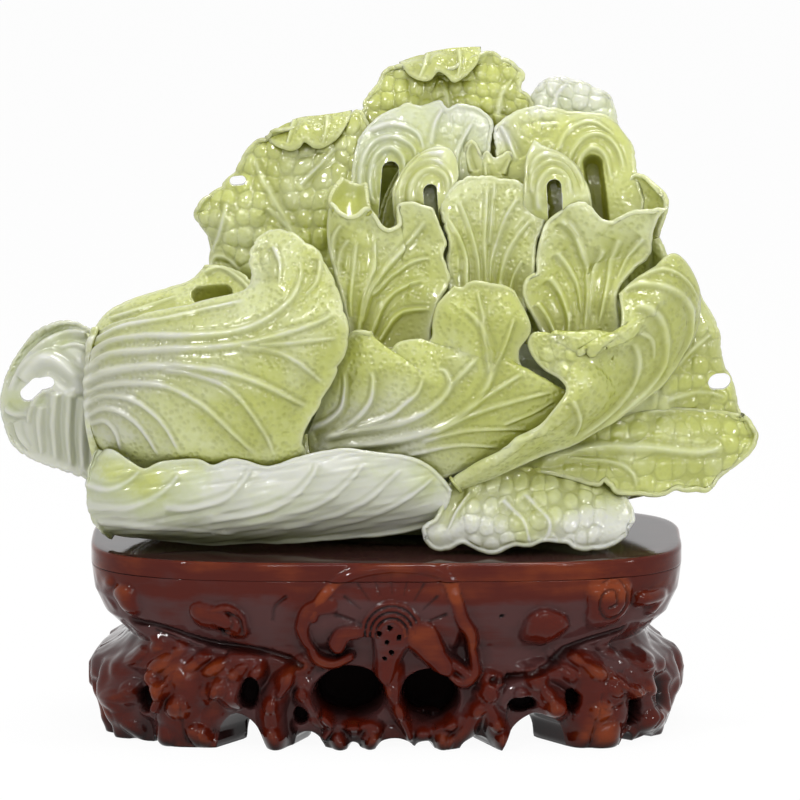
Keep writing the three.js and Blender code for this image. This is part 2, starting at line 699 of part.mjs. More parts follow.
// A rounded boss: an ellipsoid from a table of shares.
function bossGeometry([across, back, up, halfWidth, halfReach, halfRise]) {
  const ball = new THREE.SphereGeometry(1, bossSides, bossRings);
  ball.scale(halfWidth * halfLength, halfReach * halfDepth, halfRise * standHeight);
  ball.translate(across * halfLength, back * halfDepth, up * standHeight);
  return ball;
}

// A root: level sections from the floor up, so that its foot is flat.
function rootGeometry(sectionShares, grown) {
  const last = sectionShares.length - 1;
  const sections = sectionShares.map(([up, across, back, halfWidth, halfReach], index) => {
    const endShift = index === 0 ? -grown : index === last ? grown : 0;
    return roundedRing(rootSides, ellipsePower, (c, s) => new THREE.Vector3(
      across * halfLength + (halfWidth * halfLength + grown) * c,
      back * halfDepth + (halfReach * halfDepth + grown) * s,
      up * standHeight + endShift,
    ));
  });
  return loft(sections);
}

function hollowGeometry([across, up, halfWidth, halfRise, depth]) {
  return bossGeometry([across, frontOfBody(across, up) / halfDepth, up, halfWidth, depth, halfRise]);
}

// A round bead along a curve on the stand's front.
function beadGeometry(places, steps, radius) {
  const points = places.map(([across, up]) => (
    new THREE.Vector3(across * halfLength, frontOfBody(across, up), up * standHeight)
  ));
  const extrudePath = new THREE.CatmullRomCurve3(points);
  const section = new THREE.Shape().absarc(0, 0, radius, 0, 2 * Math.PI);
  const sectionSides = 4;
  return new THREE.ExtrudeGeometry(section, { extrudePath, steps, curveSegments: 2 * sectionSides });
}

// Places on a scroll that winds in from its outer turn.
function scrollPlaces([across, up, radius], startAngle, turnWay) {
  const places = [];
  const count = fungus.scrollSteps / 2;
  for (let k = 0; k <= count; k += 1) {
    const share = k / count;
    const angle = startAngle + turnWay * share * fungus.scrollTurns * 2 * Math.PI;
    const reach = radius * standHeight * (1 - (1 - fungus.scrollEndShare) * share);
    const rise = reach * Math.sin(angle) / standHeight;
    places.push([across + reach * Math.cos(angle) / halfLength, up + rise]);
  }
  return places;
}

// A half disc on the stand's front, flat side down, that stands proud of the stand's edge by its rise.
function halfDiscGeometry(radius, rise, grown) {
  const [across, up] = fungus.centreShares;
  const depth = rise + fungus.setShare * standHeight + 2 * grown;
  const outline = new THREE.Shape();
  outline.moveTo(radius + grown, -grown);
  outline.absarc(0, 0, radius + grown, 0, Math.PI);
  outline.lineTo(-radius - grown, -grown);
  const disc = new THREE.ExtrudeGeometry(outline, { depth, bevelEnabled: false, curveSegments: bossSides });
  disc.rotateX(Math.PI / 2);
  disc.translate(across * halfLength, depth - halfDepth - rise - grown, up * standHeight);
  return disc;
}

function namedMesh(name, solid, material) {
  const mesh = new THREE.Mesh(geometryOf(solid), material);
  mesh.name = name;
  return mesh;
}

// The stone: its solid heart first, then each leaf, cut clear of every form before it.
function buildStone() {
  const stone = new THREE.Group();
  stone.add(namedMesh('stalk_core', solidOf(stalkGeometry(0)), stalkWhite));
  const cutters = [solidOf(stalkGeometry(seam))];
  stone.add(namedMesh('inner_bud', cutBy(solidOf(budGeometry(0)), cutters), paleGreen));
  cutters.push(solidOf(budGeometry(seam)));
  for (const leaf of leafTable) {
    stone.add(namedMesh(leaf.name, cutBy(solidOf(leafGeometry(leaf, 0)), cutters), leaf.material));
    cutters.push(solidOf(leafGeometry(leaf, seam)));
  }
  return stone;
}

// The fungus: arch, fan, crown, two scrolls and the stem, each cut clear of what is beneath it.
function fungusForms() {
  const bead = fungus.lipShare * standHeight;
  const scrollBead = fungus.scrollShare * standHeight;
  const fan = fungus.fanShare * standHeight;
  const crown = fungus.crownShare * standHeight;
  const fanRise = fungus.fanRiseShare * standHeight;
  const crownRise = fungus.crownRiseShare * standHeight;
  const leftScroll = scrollPlaces(fungus.leftScrollShares, Math.PI / 2, 1);
  const rightScroll = scrollPlaces(fungus.rightScrollShares, Math.PI / 4, -1);
  const arch = (grown) => beadGeometry(fungus.archShares, fungus.archSteps, bead + grown);
  const scroll = (places, grown) => beadGeometry(places, fungus.scrollSteps, scrollBead + grown);
  return [
    { name: 'lingzhi_arch', make: arch },
    { name: 'lingzhi_crown', make: (grown) => halfDiscGeometry(crown, crownRise, grown) },
    { name: 'lingzhi_fan', make: (grown) => halfDiscGeometry(fan, fanRise, grown) },
    { name: 'lingzhi_left_scroll', make: (grown) => scroll(leftScroll, grown) },
    { name: 'lingzhi_right_scroll', make: (grown) => scroll(rightScroll, grown) },
    { name: 'lingzhi_stem', make: (grown) => rootGeometry(fungus.stemSectionShares, grown) },
  ];
}

// The stand: top, body with its hollows, and the carved forms, each cut clear of every form before it.
function buildStand() {
  const stand = new THREE.Group();
  stand.position.x = standOffset;
  stand.add(namedMesh('stand_top', solidOf(standTopGeometry(0)), lacquer));
  const hollows = hollowShares.map((shares) => solidOf(hollowGeometry(shares)));
  const body = cutBy(solidOf(standBodyGeometry(0)), hollows);
  stand.add(namedMesh('stand_body', body, lacquer));
  const grownBody = cutBy(solidOf(standBodyGeometry(seam)), hollows);
  const cutters = [solidOf(standTopGeometry(seam)), grownBody];
  const rootForm = ({ name, sectionShares }) => (
    { name, make: (grown) => rootGeometry(sectionShares, grown) }
  );
  const forms = [
    ...rootTable.map(rootForm),
    ...fungusForms(),
    ...bossTable.map(({ name, placeShares }) => ({ name, make: () => bossGeometry(placeShares) })),
  ];
  for (const { name, make } of forms) {
    stand.add(namedMesh(name, cutBy(solidOf(make(0)), cutters), lacquer));
    cutters.push(solidOf(make(seam)));
  }
  return stand;
}

// The carving on its stand, with the origin under the middle of its box.
function buildAssembly() {
  const assembly = new THREE.Group();
  assembly.add(buildStone(), buildStand());
  assembly.updateMatrixWorld(true);
  const box = new THREE.Box3().setFromObject(assembly, true);
  const centre = box.getCenter(new THREE.Vector3());
  assembly.position.set(-centre.x, -centre.y, -box.min.z);
  return assembly;
}

export default buildAssembly();
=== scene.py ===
"""Jade cabbage carving on a carved root-wood stand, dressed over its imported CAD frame.

The stone is a pale green cabbage lying open on its side. Each leaf is a lofted sheet with rolled, ruffled
rims and carved relief. The stand is a waisted root block with a lingzhi fungus carved on its front.

Places in the front view are written as across,down,back: even steps from its upper left corner, then hundredths
of the stone's half depth. Other lengths are in millimetres, and those of Blender and of the views are in metres.
"""

import logging
import math
from collections.abc import Callable
from dataclasses import dataclass
from enum import Enum

import bpy
import numpy as np
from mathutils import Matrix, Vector

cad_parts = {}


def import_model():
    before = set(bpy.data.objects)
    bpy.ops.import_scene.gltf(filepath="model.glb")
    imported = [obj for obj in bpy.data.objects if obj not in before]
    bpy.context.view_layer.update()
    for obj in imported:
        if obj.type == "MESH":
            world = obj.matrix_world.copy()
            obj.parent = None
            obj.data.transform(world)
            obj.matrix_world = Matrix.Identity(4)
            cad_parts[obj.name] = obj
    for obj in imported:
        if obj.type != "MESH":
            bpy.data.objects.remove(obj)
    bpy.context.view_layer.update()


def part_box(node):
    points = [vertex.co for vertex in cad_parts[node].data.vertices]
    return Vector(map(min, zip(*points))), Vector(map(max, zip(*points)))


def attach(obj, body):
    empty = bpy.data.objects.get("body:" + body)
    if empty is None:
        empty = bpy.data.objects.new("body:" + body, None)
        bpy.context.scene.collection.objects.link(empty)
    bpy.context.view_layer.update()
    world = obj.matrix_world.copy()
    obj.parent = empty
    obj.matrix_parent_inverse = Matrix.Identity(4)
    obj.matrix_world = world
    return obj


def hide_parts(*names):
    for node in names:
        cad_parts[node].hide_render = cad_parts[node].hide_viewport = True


LOG = logging.getLogger("cabbage")
MM = 0.001

STEP_ACROSS = 0.6494
STEP_DOWN = 0.6592
VIEW_LEFT = -247.7
STONE_TOP = 474.1
STAND_TOP = 490.5

LATTICE = 16
CELLS = 32
TINY = 1e-9

Array = np.ndarray
Thing = bpy.types.Object
Socket = bpy.types.NodeSocket
Place = tuple[float, float, float]
Disc = tuple[float, ...]
Table = tuple[Disc, ...]
Vein = tuple[float, Array]
Feed = Socket | float | tuple[float, ...]


class Facing(Enum):
    """The side of the block that a leaf's carved face looks to."""

    FRONT = -1
    REAR = 1


# Shared number work


def line(text: str) -> Array:
    """Read places written as across,down or across,down,back with spaces between them."""
    rows = [place.split(",") for place in text.split()]
    return np.array([[float(across), float(down), *(int(part) / 100 for part in back)] for across, down, *back in rows])


def veins(text: str) -> tuple[Vein, ...]:
    """Read veins written as a width, a colon and places, with semicolons between them."""
    return tuple((float(width), line(path)) for width, path in (vein.split(":") for vein in text.split(";")))


def arc(middle: tuple[float, float], radius: float, rise: float, degrees: list[float]) -> Array:
    """Places on an arc round a middle, at angles that run from its right end over the top."""
    return np.array([(middle[0] + radius * math.cos(a), middle[1] - rise * radius * math.sin(a))
                     for a in np.radians(degrees)])


def smoothstep(low: float, high: float, value: Array) -> Array:
    """Ease from 0 to 1 as a value goes from low to high."""
    t = np.clip((value - low) / (high - low), 0.0, 1.0)
    return t * t * (3.0 - 2.0 * t)


def bell(gap: Array, width: float | Array) -> Array:
    """Bell curve that is 1 where a gap is 0 and falls off over a width."""
    return np.exp(-(gap / width) ** 2)


def lattice_noise(points: Array, size: float, seed: int) -> Array:
    """Smooth noise from -1 to 1 at points in space.

    Args:
        points: array whose last axis is x, y, z.
        size: distance between two lattice points, in the points' unit.
        seed: seed of the lattice values.

    Returns:
        One value for each point.
    """
    table = np.random.default_rng(seed).uniform(-1.0, 1.0, (LATTICE, LATTICE, LATTICE))
    scaled = points / size
    base = np.floor(scaled).astype(int)
    part = scaled - base
    part = part * part * (3.0 - 2.0 * part)
    total = np.zeros(points.shape[:-1])
    for corner in np.ndindex(2, 2, 2):
        index = (base + np.array(corner)) % LATTICE
        weight = np.ones(points.shape[:-1])
        for axis in range(3):
            weight = weight * (part[..., axis] if corner[axis] else 1.0 - part[..., axis])
        total += weight * table[index[..., 0], index[..., 1], index[..., 2]]
    return total


def pebbles(along: Array, across: Array, size: float, seed: int) -> Array:
    """Round pebbles of a jittered pattern.

    Args:
        along: first coordinate of each point.
        across: second coordinate of each point.
        size: mean size of a pebble.
        seed: seed of the jitter.

    Returns:
        Share from 0 between the pebbles to 1 on top of one.
    """
    jitter = np.random.default_rng(seed).uniform(0.26, 0.74, (CELLS, CELLS, 2))
    lifts = np.random.default_rng(seed + 1).uniform(0.2, 1.0, (CELLS, CELLS))
    x, y = along / size, across / size
    column, row = np.floor(x).astype(int), np.floor(y).astype(int)
    nearest, second = np.full(x.shape, 9.0), np.full(x.shape, 9.0)
    lift = np.ones(x.shape)
    for i, j in ((i, j) for i in (-1, 0, 1) for j in (-1, 0, 1)):
        cell = (column + i) % CELLS, (row + j) % CELLS
        spot = jitter[cell]
        distance = np.hypot(column + i + spot[..., 0] - x, row + j + spot[..., 1] - y)
        closer = distance < nearest
        lift = np.where(closer, lifts[cell], lift)
        second = np.where(closer, nearest, np.minimum(second, distance))
        nearest = np.where(closer, distance, nearest)
    dome = np.clip(1 - (nearest / (0.44 + 0.22 * lift)) ** 2, 0, 1) ** 0.7
    return (0.3 + 0.7 * lift) * dome * (0.5 + 0.5 * smoothstep(0.0, 0.12, second - nearest))


def smooth_rail(points: Array, places: Array) -> Array:
    """Points on the smooth curve that runs through a row of points, with even steps from point to point.

    Args:
        points: array of points by coordinates.
        places: shares from 0 to 1 along the row.

    Returns:
        One point for each share.
    """
    last = len(points) - 1
    padded = np.vstack([2 * points[0] - points[1], points, 2 * points[-1] - points[-2]])
    run = np.clip(places, 0.0, 1.0) * last
    index = np.minimum(run.astype(int), last - 1)
    t = (run - index)[..., None]
    p0, p1, p2, p3 = (padded[index + k] for k in range(4))
    slope_in, slope_out = (p2 - p0) / 2, (p3 - p1) / 2
    return ((2 * t**3 - 3 * t**2 + 1) * p1 + (t**3 - 2 * t**2 + t) * slope_in
            + (3 * t**2 - 2 * t**3) * p2 + (t**3 - t**2) * slope_out)


def even_rail(points: Array, places: Array) -> Array:
    """Points at even distances on the smooth curve through a row of seen places.

    Args:
        points: array of places as across, down, back, or of several such places side by side.
        places: shares from 0 to 1 of the curve's length.

    Returns:
        One place for each share.
    """
    fine = smooth_rail(points, np.linspace(0, 1, 24 * len(points)))
    steps_per_back = 120.0
    weights = np.tile([1.0, 1.0, steps_per_back], fine.shape[1] // 3)
    steps = np.linalg.norm(np.diff(fine * weights, axis=0), axis=1)
    run = np.concatenate([[0.0], np.cumsum(steps)])
    wanted = np.clip(places, 0.0, 1.0) * run[-1]
    return np.stack([np.interp(wanted, run, column) for column in fine.T], axis=-1)


def nearest_on_line(spots: Array, path: Array) -> tuple[Array, Array, Array]:
    """How seen spots lie beside a line.

    Args:
        spots: array whose last axis is across, down.
        path: the line's points.

    Returns:
        The distance to the line, the share along it of the nearest place, and 1 or -1 for the side.
    """
    start, step = path[:-1], np.diff(path, axis=0)
    length = np.maximum((step**2).sum(axis=1), TINY)
    flat = spots.reshape(-1, 1, 2) - start
    part = np.clip((flat * step).sum(axis=-1) / length, 0, 1)
    offset = flat - part[..., None] * step
    gap = np.hypot(offset[..., 0], offset[..., 1])
    best = gap.argmin(axis=1)
    rows = np.arange(len(best))
    cross = step[best, 0] * flat[rows, best, 1] - step[best, 1] * flat[rows, best, 0]
    found = gap[rows, best], (best + part[rows, best]) / len(step), np.sign(cross)
    return tuple(values.reshape(spots.shape[:-1]) for values in found)


def unit(vectors: Array) -> Array:
    """Vectors scaled to length 1."""
    return vectors / np.maximum(np.linalg.norm(vectors, axis=-1, keepdims=True), TINY)


def face_normals(points: Array) -> Array:
    """Unit normals of a grid of points."""
    return unit(np.cross(np.gradient(points, axis=0), np.gradient(points, axis=1)))


def rounded(angle: Array, power: float) -> tuple[Array, Array]:
    """Both coordinates of a rounded square of half size 1, where more power means squarer corners."""
    c, s = np.cos(angle), np.sin(angle)
    return np.sign(c) * np.abs(c) ** (2 / power), np.sign(s) * np.abs(s) ** (2 / power)


# Mesh work


def mesh_object(name: str, points: Array, faces: list) -> Thing:
    """A smooth-shaded mesh object in the scene.

    Args:
        name: name of the object.
        points: vertices in metres.
        faces: vertex indices of each face.

    Returns:
        The object, linked to the scene.
    """
    mesh = bpy.data.meshes.new(name)
    mesh.from_pydata(points.tolist(), [], faces)
    mesh.validate()
    mesh.shade_smooth()
    piece = bpy.data.objects.new(name, mesh)
    bpy.context.scene.collection.objects.link(piece)
    return piece


def paint(piece: Thing, **values: Array) -> None:
    """Store named numbers on a piece's vertices for its material.

    Args:
        piece: mesh object.
        values: one array of numbers per name, in vertex order.
    """
    for name, numbers in values.items():
        layer = piece.data.attributes.new(name, "FLOAT", "POINT")
        layer.data.foreach_set("value", np.asarray(numbers, dtype=np.float32).ravel())


def ring_mesh(name: str, rings: Array) -> Thing:
    """A closed mesh through rings of points, from the lowest ring to the top one.

    Args:
        name: name of the object.
        rings: array of rings by points by coordinates, each ring anticlockwise from above.

    Returns:
        The mesh object.
    """
    count, size = rings.shape[:2]
    start = (np.arange(count - 1)[:, None] * size + np.arange(size)[None, :]).ravel()
    after = (np.arange(count - 1)[:, None] * size + (np.arange(size)[None, :] + 1) % size).ravel()
    faces = np.stack([start, after, after + size, start + size], axis=1).tolist()
    faces += [list(range(size))[::-1], list(range((count - 1) * size, count * size))]
    return mesh_object(name, rings.reshape(-1, 3), faces)


def capsule(start: Array, end: Array, radius: float, reach: float) -> Thing:
    """A bar with a long round cross-section that runs from front to rear, for cutting.

    Args:
        start: middle of the section's first end.
        end: middle of its other end.
        radius: half the section's width.
        reach: half the bar's length.

    Returns:
        The mesh object.
    """
    count = 72
    way = unit((end - start) * np.array([1.0, 0.0, 1.0]))
    turn = math.atan2(way[2], way[0])
    angles = turn + np.linspace(-math.pi / 2, 1.5 * math.pi, count, endpoint=False)
    rings = []
    for depth in (-reach, reach):
        for number, angle in enumerate(angles):
            middle = end if number < count // 2 else start
            wave = 1 + 0.05 * math.sin(2 * angle + 0.6)
            rings.append((middle[0] + radius * wave * math.cos(angle), middle[1] + depth,
                          middle[2] + radius * wave * math.sin(angle)))
    faces = [(count + k, count + (k + 1) % count, (k + 1) % count, k) for k in range(count)]
    faces += [tuple(range(count)), tuple(range(count, 2 * count))[::-1]]
    return mesh_object("cutter", np.array(rings), faces)


def cut_away(piece: Thing, bar: Thing) -> None:
    """Cut a bar out of a piece and remove the bar.

    Args:
        piece: mesh object that is cut.
        bar: mesh object that cuts it.
    """
    cut = piece.modifiers.new("hole", "BOOLEAN")
    cut.operation, cut.solver, cut.object = "DIFFERENCE", "MANIFOLD", bar
    shown = piece.evaluated_get(bpy.context.evaluated_depsgraph_get())
    made = bpy.data.meshes.new_from_object(shown)
    piece.modifiers.clear()
    piece.data = made
    bpy.data.objects.remove(bar)


def settle(piece: Thing, finish: bpy.types.Material, slot: str, body: str, *nodes: str) -> None:
    """Give a piece its finish, its body and the nodes that it stands for.

    Args:
        piece: mesh object.
        finish: material that it takes.
        slot: name of that material's slot, which the log shows.
        body: body that it rides on.
        nodes: nodes that it replaces.
    """
    piece.data.materials.append(finish)
    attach(piece, body)
    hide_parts(*nodes)
    LOG.info("%s: %s, stands for %s", piece.name, slot, ", ".join(nodes))


# Shader work


@dataclass
class Wires:
    """A short way to add and join nodes in one node tree."""

    tree: bpy.types.NodeTree

    def feed(self, socket: Socket, value: Feed) -> None:
        """Join an input socket to another socket, or set its value.

        Args:
            socket: the input socket.
            value: a socket or a plain value.
        """
        if isinstance(value, Socket):
            self.tree.links.new(value, socket)
        else:
            socket.default_value = value

    def add(self, kind: str, inputs: dict[str | int, Feed] | None = None, **settings: object) -> bpy.types.Node:
        """Add a node.

        Args:
            kind: Blender's name for the node type.
            inputs: sockets to set or to join, by name or number.
            settings: properties of the node.

        Returns:
            The new node.
        """
        node = self.tree.nodes.new(kind)
        for key, value in settings.items():
            setattr(node, key, value)
        for key, value in (inputs or {}).items():
            self.feed(node.inputs[key], value)
        return node

    def math(self, operation: str, *values: Feed) -> Socket:
        """Result of a Math node over sockets or numbers."""
        return self.add("ShaderNodeMath", dict(enumerate(values)), operation=operation).outputs[0]

    def swing(self, noise: Feed, strength: float, value: Feed) -> Socket:
        """A value moved up and down by noise around its middle."""
        return self.math("MULTIPLY_ADD", self.math("SUBTRACT", noise, 0.5), strength, value)

    def mix(self, share: Feed, first: Feed, second: Feed) -> Socket:
        """A colour between two colours.

        Args:
            share: 0 for the first colour and 1 for the second.
            first: first colour.
            second: second colour.

        Returns:
            The socket of the mixed colour.
        """
        node = self.add("ShaderNodeMix", data_type="RGBA")
        for key, value in (("Factor_Float", share), ("A_Color", first), ("B_Color", second)):
            self.feed(next(s for s in node.inputs if s.identifier == key), value)
        return next(s for s in node.outputs if s.identifier == "Result_Color")

    def remap(self, value: Feed, low: float, high: float, to_low: float = 0.0, to_high: float = 1.0) -> Socket:
        """A value eased from the range low to high to the range to_low to to_high."""
        inputs = {"Value": value, "From Min": low, "From Max": high, "To Min": to_low, "To Max": to_high}
        return self.add("ShaderNodeMapRange", inputs, interpolation_type="SMOOTHSTEP").outputs["Result"]

    def noise(self, place: Feed, scale: Feed, detail: float = 3.0, roughness: float = 0.5) -> Socket:
        """Noise with a number of cells per metre, and finer layers of some roughness."""
        inputs = {"Vector": place, "Scale": scale, "Detail": detail, "Roughness": roughness}
        return self.add("ShaderNodeTexNoise", inputs).outputs[0]

    def pits(self, place: Feed, scale: Feed) -> Socket:
        """Distance to the middle of the nearest punched pit."""
        inputs = {"Vector": place, "Scale": scale, "Randomness": 0.95}
        return self.add("ShaderNodeTexVoronoi", inputs).outputs["Distance"]

    def painted(self, name: str) -> Socket:
        """Numbers that a piece was painted with."""
        return self.add("ShaderNodeAttribute", attribute_name=name).outputs["Fac"]

    def place(self) -> Socket:
        """Place in the piece's own space."""
        return self.add("ShaderNodeTexCoord").outputs["Object"]

    def openness(self) -> Socket:
        """How open the nearest 20 mm round a point are, from 0 to 1."""
        return self.add("ShaderNodeAmbientOcclusion", {"Distance": 20 * MM}, samples=6).outputs["AO"]


def new_group(name: str, colours: tuple[str, ...], values: tuple[str, ...], outputs: tuple[str, ...]) -> Wires:
    """An empty shader group with named sockets.

    Args:
        name: name of the group.
        colours: names of its colour inputs.
        values: names of its number inputs.
        outputs: names of its outputs, where Color is a colour and the others are numbers.

    Returns:
        The wiring helper of the group.
    """
    tree = bpy.data.node_groups.new(name, "ShaderNodeTree")
    for in_out, names in (("INPUT", colours + values), ("OUTPUT", outputs)):
        for socket in names:
            kind = "NodeSocketColor" if socket in colours + ("Color",) else "NodeSocketFloat"
            tree.interface.new_socket(socket, in_out=in_out, socket_type=kind)
    return Wires(tree)


def stone_clouding() -> None:
    """Group for the stone's colour: white to green by tint, clouded, with painted shade in creases and hollows and a
    painted highlight along the rims.
    """
    wires = new_group("stone_clouding", ("White", "Pale", "Green", "Deep", "Crease"), ("Cloud Scale", "Pit Scale"),
                      ("Color",))
    given = wires.add("NodeGroupInput").outputs
    place = wires.place()
    cloud = wires.noise(place, given["Cloud Scale"], 4.0, 0.55)
    fleck = wires.noise(place, 210.0, 3.0, 0.6)
    drift = wires.swing(fleck, 0.35, wires.swing(cloud, 1.5, wires.painted("tint")))
    body = wires.mix(wires.remap(drift, 0.0, 0.5), given["White"], given["Pale"])
    body = wires.mix(wires.remap(drift, 0.4, 1.0), body, given["Green"])
    body = wires.mix(wires.remap(drift, 1.15, 1.8), body, given["Deep"])
    dots = wires.remap(wires.pits(place, given["Pit Scale"]), 0.72, 0.12)
    dots = wires.math("MULTIPLY", dots, wires.remap(wires.noise(place, 110.0, 2.0, 0.5), 0.3, 0.62, 0.2, 1.0))
    dots = wires.math("MULTIPLY", wires.math("MULTIPLY", dots, wires.painted("pitted")), 0.27)
    body = wires.mix(dots, body, given["Crease"])
    # painted shade: creases and closed-in spots darkened toward the Crease colour
    crease_shade = wires.math("MAXIMUM", wires.painted("crease"), wires.remap(wires.openness(), 0.84, 0.24))
    body = wires.mix(wires.math("MULTIPLY", crease_shade, 0.92), body, given["Crease"])
    # painted highlight: the rims paled toward White
    body = wires.mix(wires.math("MULTIPLY", wires.painted("rim"), 0.35), body, given["White"])
    wires.add("NodeGroupOutput", {"Color": body})


def stone_tooling() -> None:
    """Group for the stone's surface: fine punched pits between the veins and a soft uneven polish."""
    wires = new_group("stone_tooling", (), ("Pit Scale", "Pit Depth"), ("Height", "Roughness"))
    given = wires.add("NodeGroupInput").outputs
    place = wires.place()
    pits = wires.remap(wires.pits(place, given["Pit Scale"]), 0.05, 0.6)
    depth = wires.math("MULTIPLY", wires.math("MULTIPLY", pits, given["Pit Depth"]), wires.painted("pitted"))
    height = wires.math("MULTIPLY_ADD", wires.noise(place, 55.0, 2.0, 0.5), 0.35, depth)
    polish = wires.remap(wires.noise(place, 38.0, 4.0, 0.6), 0.3, 0.75, 0.15, 0.28)
    rough = wires.math("MAXIMUM", polish, wires.remap(wires.painted("crease"), 0.3, 1.0, 0.0, 0.6))
    wires.add("NodeGroupOutput", {"Height": height, "Roughness": rough})


def lacquer_coat() -> None:
    """Group for the lacquered wood: dark coat with a painted reflection haze, thin warm edges and high spots, faint
    grain, and painted shade in creases and hollows.
    """
    wires = new_group("lacquer_coat", ("Dark", "Red", "Amber", "Depth"), (), ("Color", "Height", "Roughness"))
    given = wires.add("NodeGroupInput").outputs
    place, crease = wires.place(), wires.painted("crease")
    stretched = wires.add("ShaderNodeMapping", {"Vector": place, "Scale": (0.25, 1.0, 1.6)}).outputs[0]
    figure = wires.noise(stretched, 42.0, 5.0, 0.6)
    patch = wires.noise(place, 24.0, 3.0, 0.5)
    grain = wires.noise(stretched, 260.0, 4.0, 0.6)
    warmth = wires.swing(patch, 1.3, wires.swing(figure, 1.2, wires.painted("warm")))
    body = wires.mix(wires.remap(warmth, 0.0, 0.4), given["Dark"], given["Red"])
    body = wires.mix(wires.remap(warmth, 0.45, 1.15), body, given["Amber"])
    # painted shade: creases and closed-in spots darkened toward the near black Depth colour
    depth_shade = wires.math("MAXIMUM", wires.remap(crease, 0.1, 0.8), wires.remap(wires.openness(), 0.82, 0.22, 0.0, 0.92))
    height = wires.math("MULTIPLY_ADD", grain, 0.12, wires.math("MULTIPLY", figure, 0.5))
    rough = wires.math("MAXIMUM", wires.remap(patch, 0.3, 0.7, 0.04, 0.10), wires.remap(crease, 0.5, 1.0, 0.0, 0.9))
    wires.add("NodeGroupOutput", {"Color": wires.mix(depth_shade, body, given["Depth"]), "Height": height,
                                  "Roughness": rough})


@dataclass(frozen=True)
class Finish:
    """A finish whose colour comes from one group, and its polish and relief from the same group or another."""

    slot: str

    def dress(
        self, colour_group: str, relief_group: str, bump: dict[str, float], sockets: dict[str, Feed],
    ) -> bpy.types.Material:
        """Build the finish. Each input of a group takes the field of its name.

        Args:
            colour_group: name of the colour's group.
            relief_group: name of the relief's group.
            bump: values of the Bump node.
            sockets: plain values of the shader.

        Returns:
            The material.
        """
        made = bpy.data.materials.new(self.slot)
        made.use_nodes = True
        wires = Wires(made.node_tree)
        shader = made.node_tree.nodes["Principled BSDF"]
        placed = {}
        for name in (colour_group, relief_group):
            placed[name] = placed.get(name) or wires.add("ShaderNodeGroup", node_tree=bpy.data.node_groups[name])
            for socket in placed[name].inputs:
                socket.default_value = getattr(self, socket.name.lower().replace(" ", "_"))
        colour, relief = placed[colour_group].outputs, placed[relief_group].outputs
        normal = wires.add("ShaderNodeBump", {**bump, "Height": relief["Height"]}).outputs["Normal"]
        sockets = {"Base Color": colour["Color"], "Roughness": relief["Roughness"], "Normal": normal, **sockets}
        for name, value in sockets.items():
            wires.feed(shader.inputs[name], value)
        return made


@dataclass(frozen=True)
class JadeFinish(Finish):
    """Polished translucent serpentine between white and yellow green."""

    white: tuple = (0.70, 0.71, 0.63, 1.0)
    pale: tuple = (0.66, 0.70, 0.36, 1.0)
    green: tuple = (0.53, 0.57, 0.14, 1.0)
    deep: tuple = (0.42, 0.45, 0.03, 1.0)
    # crease: colour of the painted shade in creases and hollows
    crease: tuple = (0.20, 0.21, 0.004, 1.0)
    cloud_scale: float = 24.0
    pit_scale: float = 265.0
    pit_depth: float = 1.0

    def material(self) -> bpy.types.Material:
        """Build the finish."""
        return self.dress("stone_clouding", "stone_tooling", {"Strength": 0.5, "Distance": 1.1 * MM}, {
            "Subsurface Weight": 0.35, "Subsurface Radius": (1.0, 0.95, 0.45), "Subsurface Scale": 6 * MM,
            "IOR": 1.56, "Coat Weight": 0.3, "Coat Roughness": 0.06})


@dataclass(frozen=True)
class LacquerFinish(Finish):
    """Glossy dark red-brown lacquer over carved hardwood."""

    # dark: the wood's dark red with a painted grey-purple reflection of the room mixed in
    dark: tuple = (0.078, 0.028, 0.027, 1.0)
    red: tuple = (0.082, 0.008, 0.003, 1.0)
    amber: tuple = (0.20, 0.034, 0.006, 1.0)
    # depth: near black colour of the painted shade in creases and hollows
    depth: tuple = (0.006, 0.002, 0.002, 1.0)

    def material(self) -> bpy.types.Material:
        """Build the finish."""
        return self.dress("lacquer_coat", "lacquer_coat", {"Strength": 0.25, "Distance": 0.5 * MM},
                          {"Specular IOR Level": 0.17})


# The stone


@dataclass(frozen=True)
class FrontView:
    """The view from the front, in metres. The stone stands on its floor, and deeper places show lower."""

    step_across: float = STEP_ACROSS * MM
    step_down: float = STEP_DOWN * MM
    left: float = VIEW_LEFT * MM
    top: float = STONE_TOP * MM
    lean: float = 13.63 * MM
    half_depth: float = 80 * MM
    floor: float = 122.4 * MM
    shift: tuple[float, float] = (0.0, 0.0)

    def points(self, spots: Array) -> Array:
        """Points in metres of places given as across, down and back.

        Args:
            spots: array whose last axis is across, down, back.

        Returns:
            The points, in the same layout.
        """
        across, down, back = np.moveaxis(spots, -1, 0)
        x = self.left + across * self.step_across + self.shift[0]
        y = back * self.half_depth + self.shift[1]
        return np.stack([x, y, self.top - down * self.step_down - back * self.lean], axis=-1)

    def seen(self, points: Array) -> Array:
        """Where the view shows points.

        Args:
            points: array of points in metres.

        Returns:
            Across and down of each point.
        """
        back = (points[..., 1] - self.shift[1]) / self.half_depth
        across = (points[..., 0] - self.shift[0] - self.left) / self.step_across
        down = (self.top - points[..., 2] - back * self.lean) / self.step_down
        return np.stack([across, down], axis=-1)


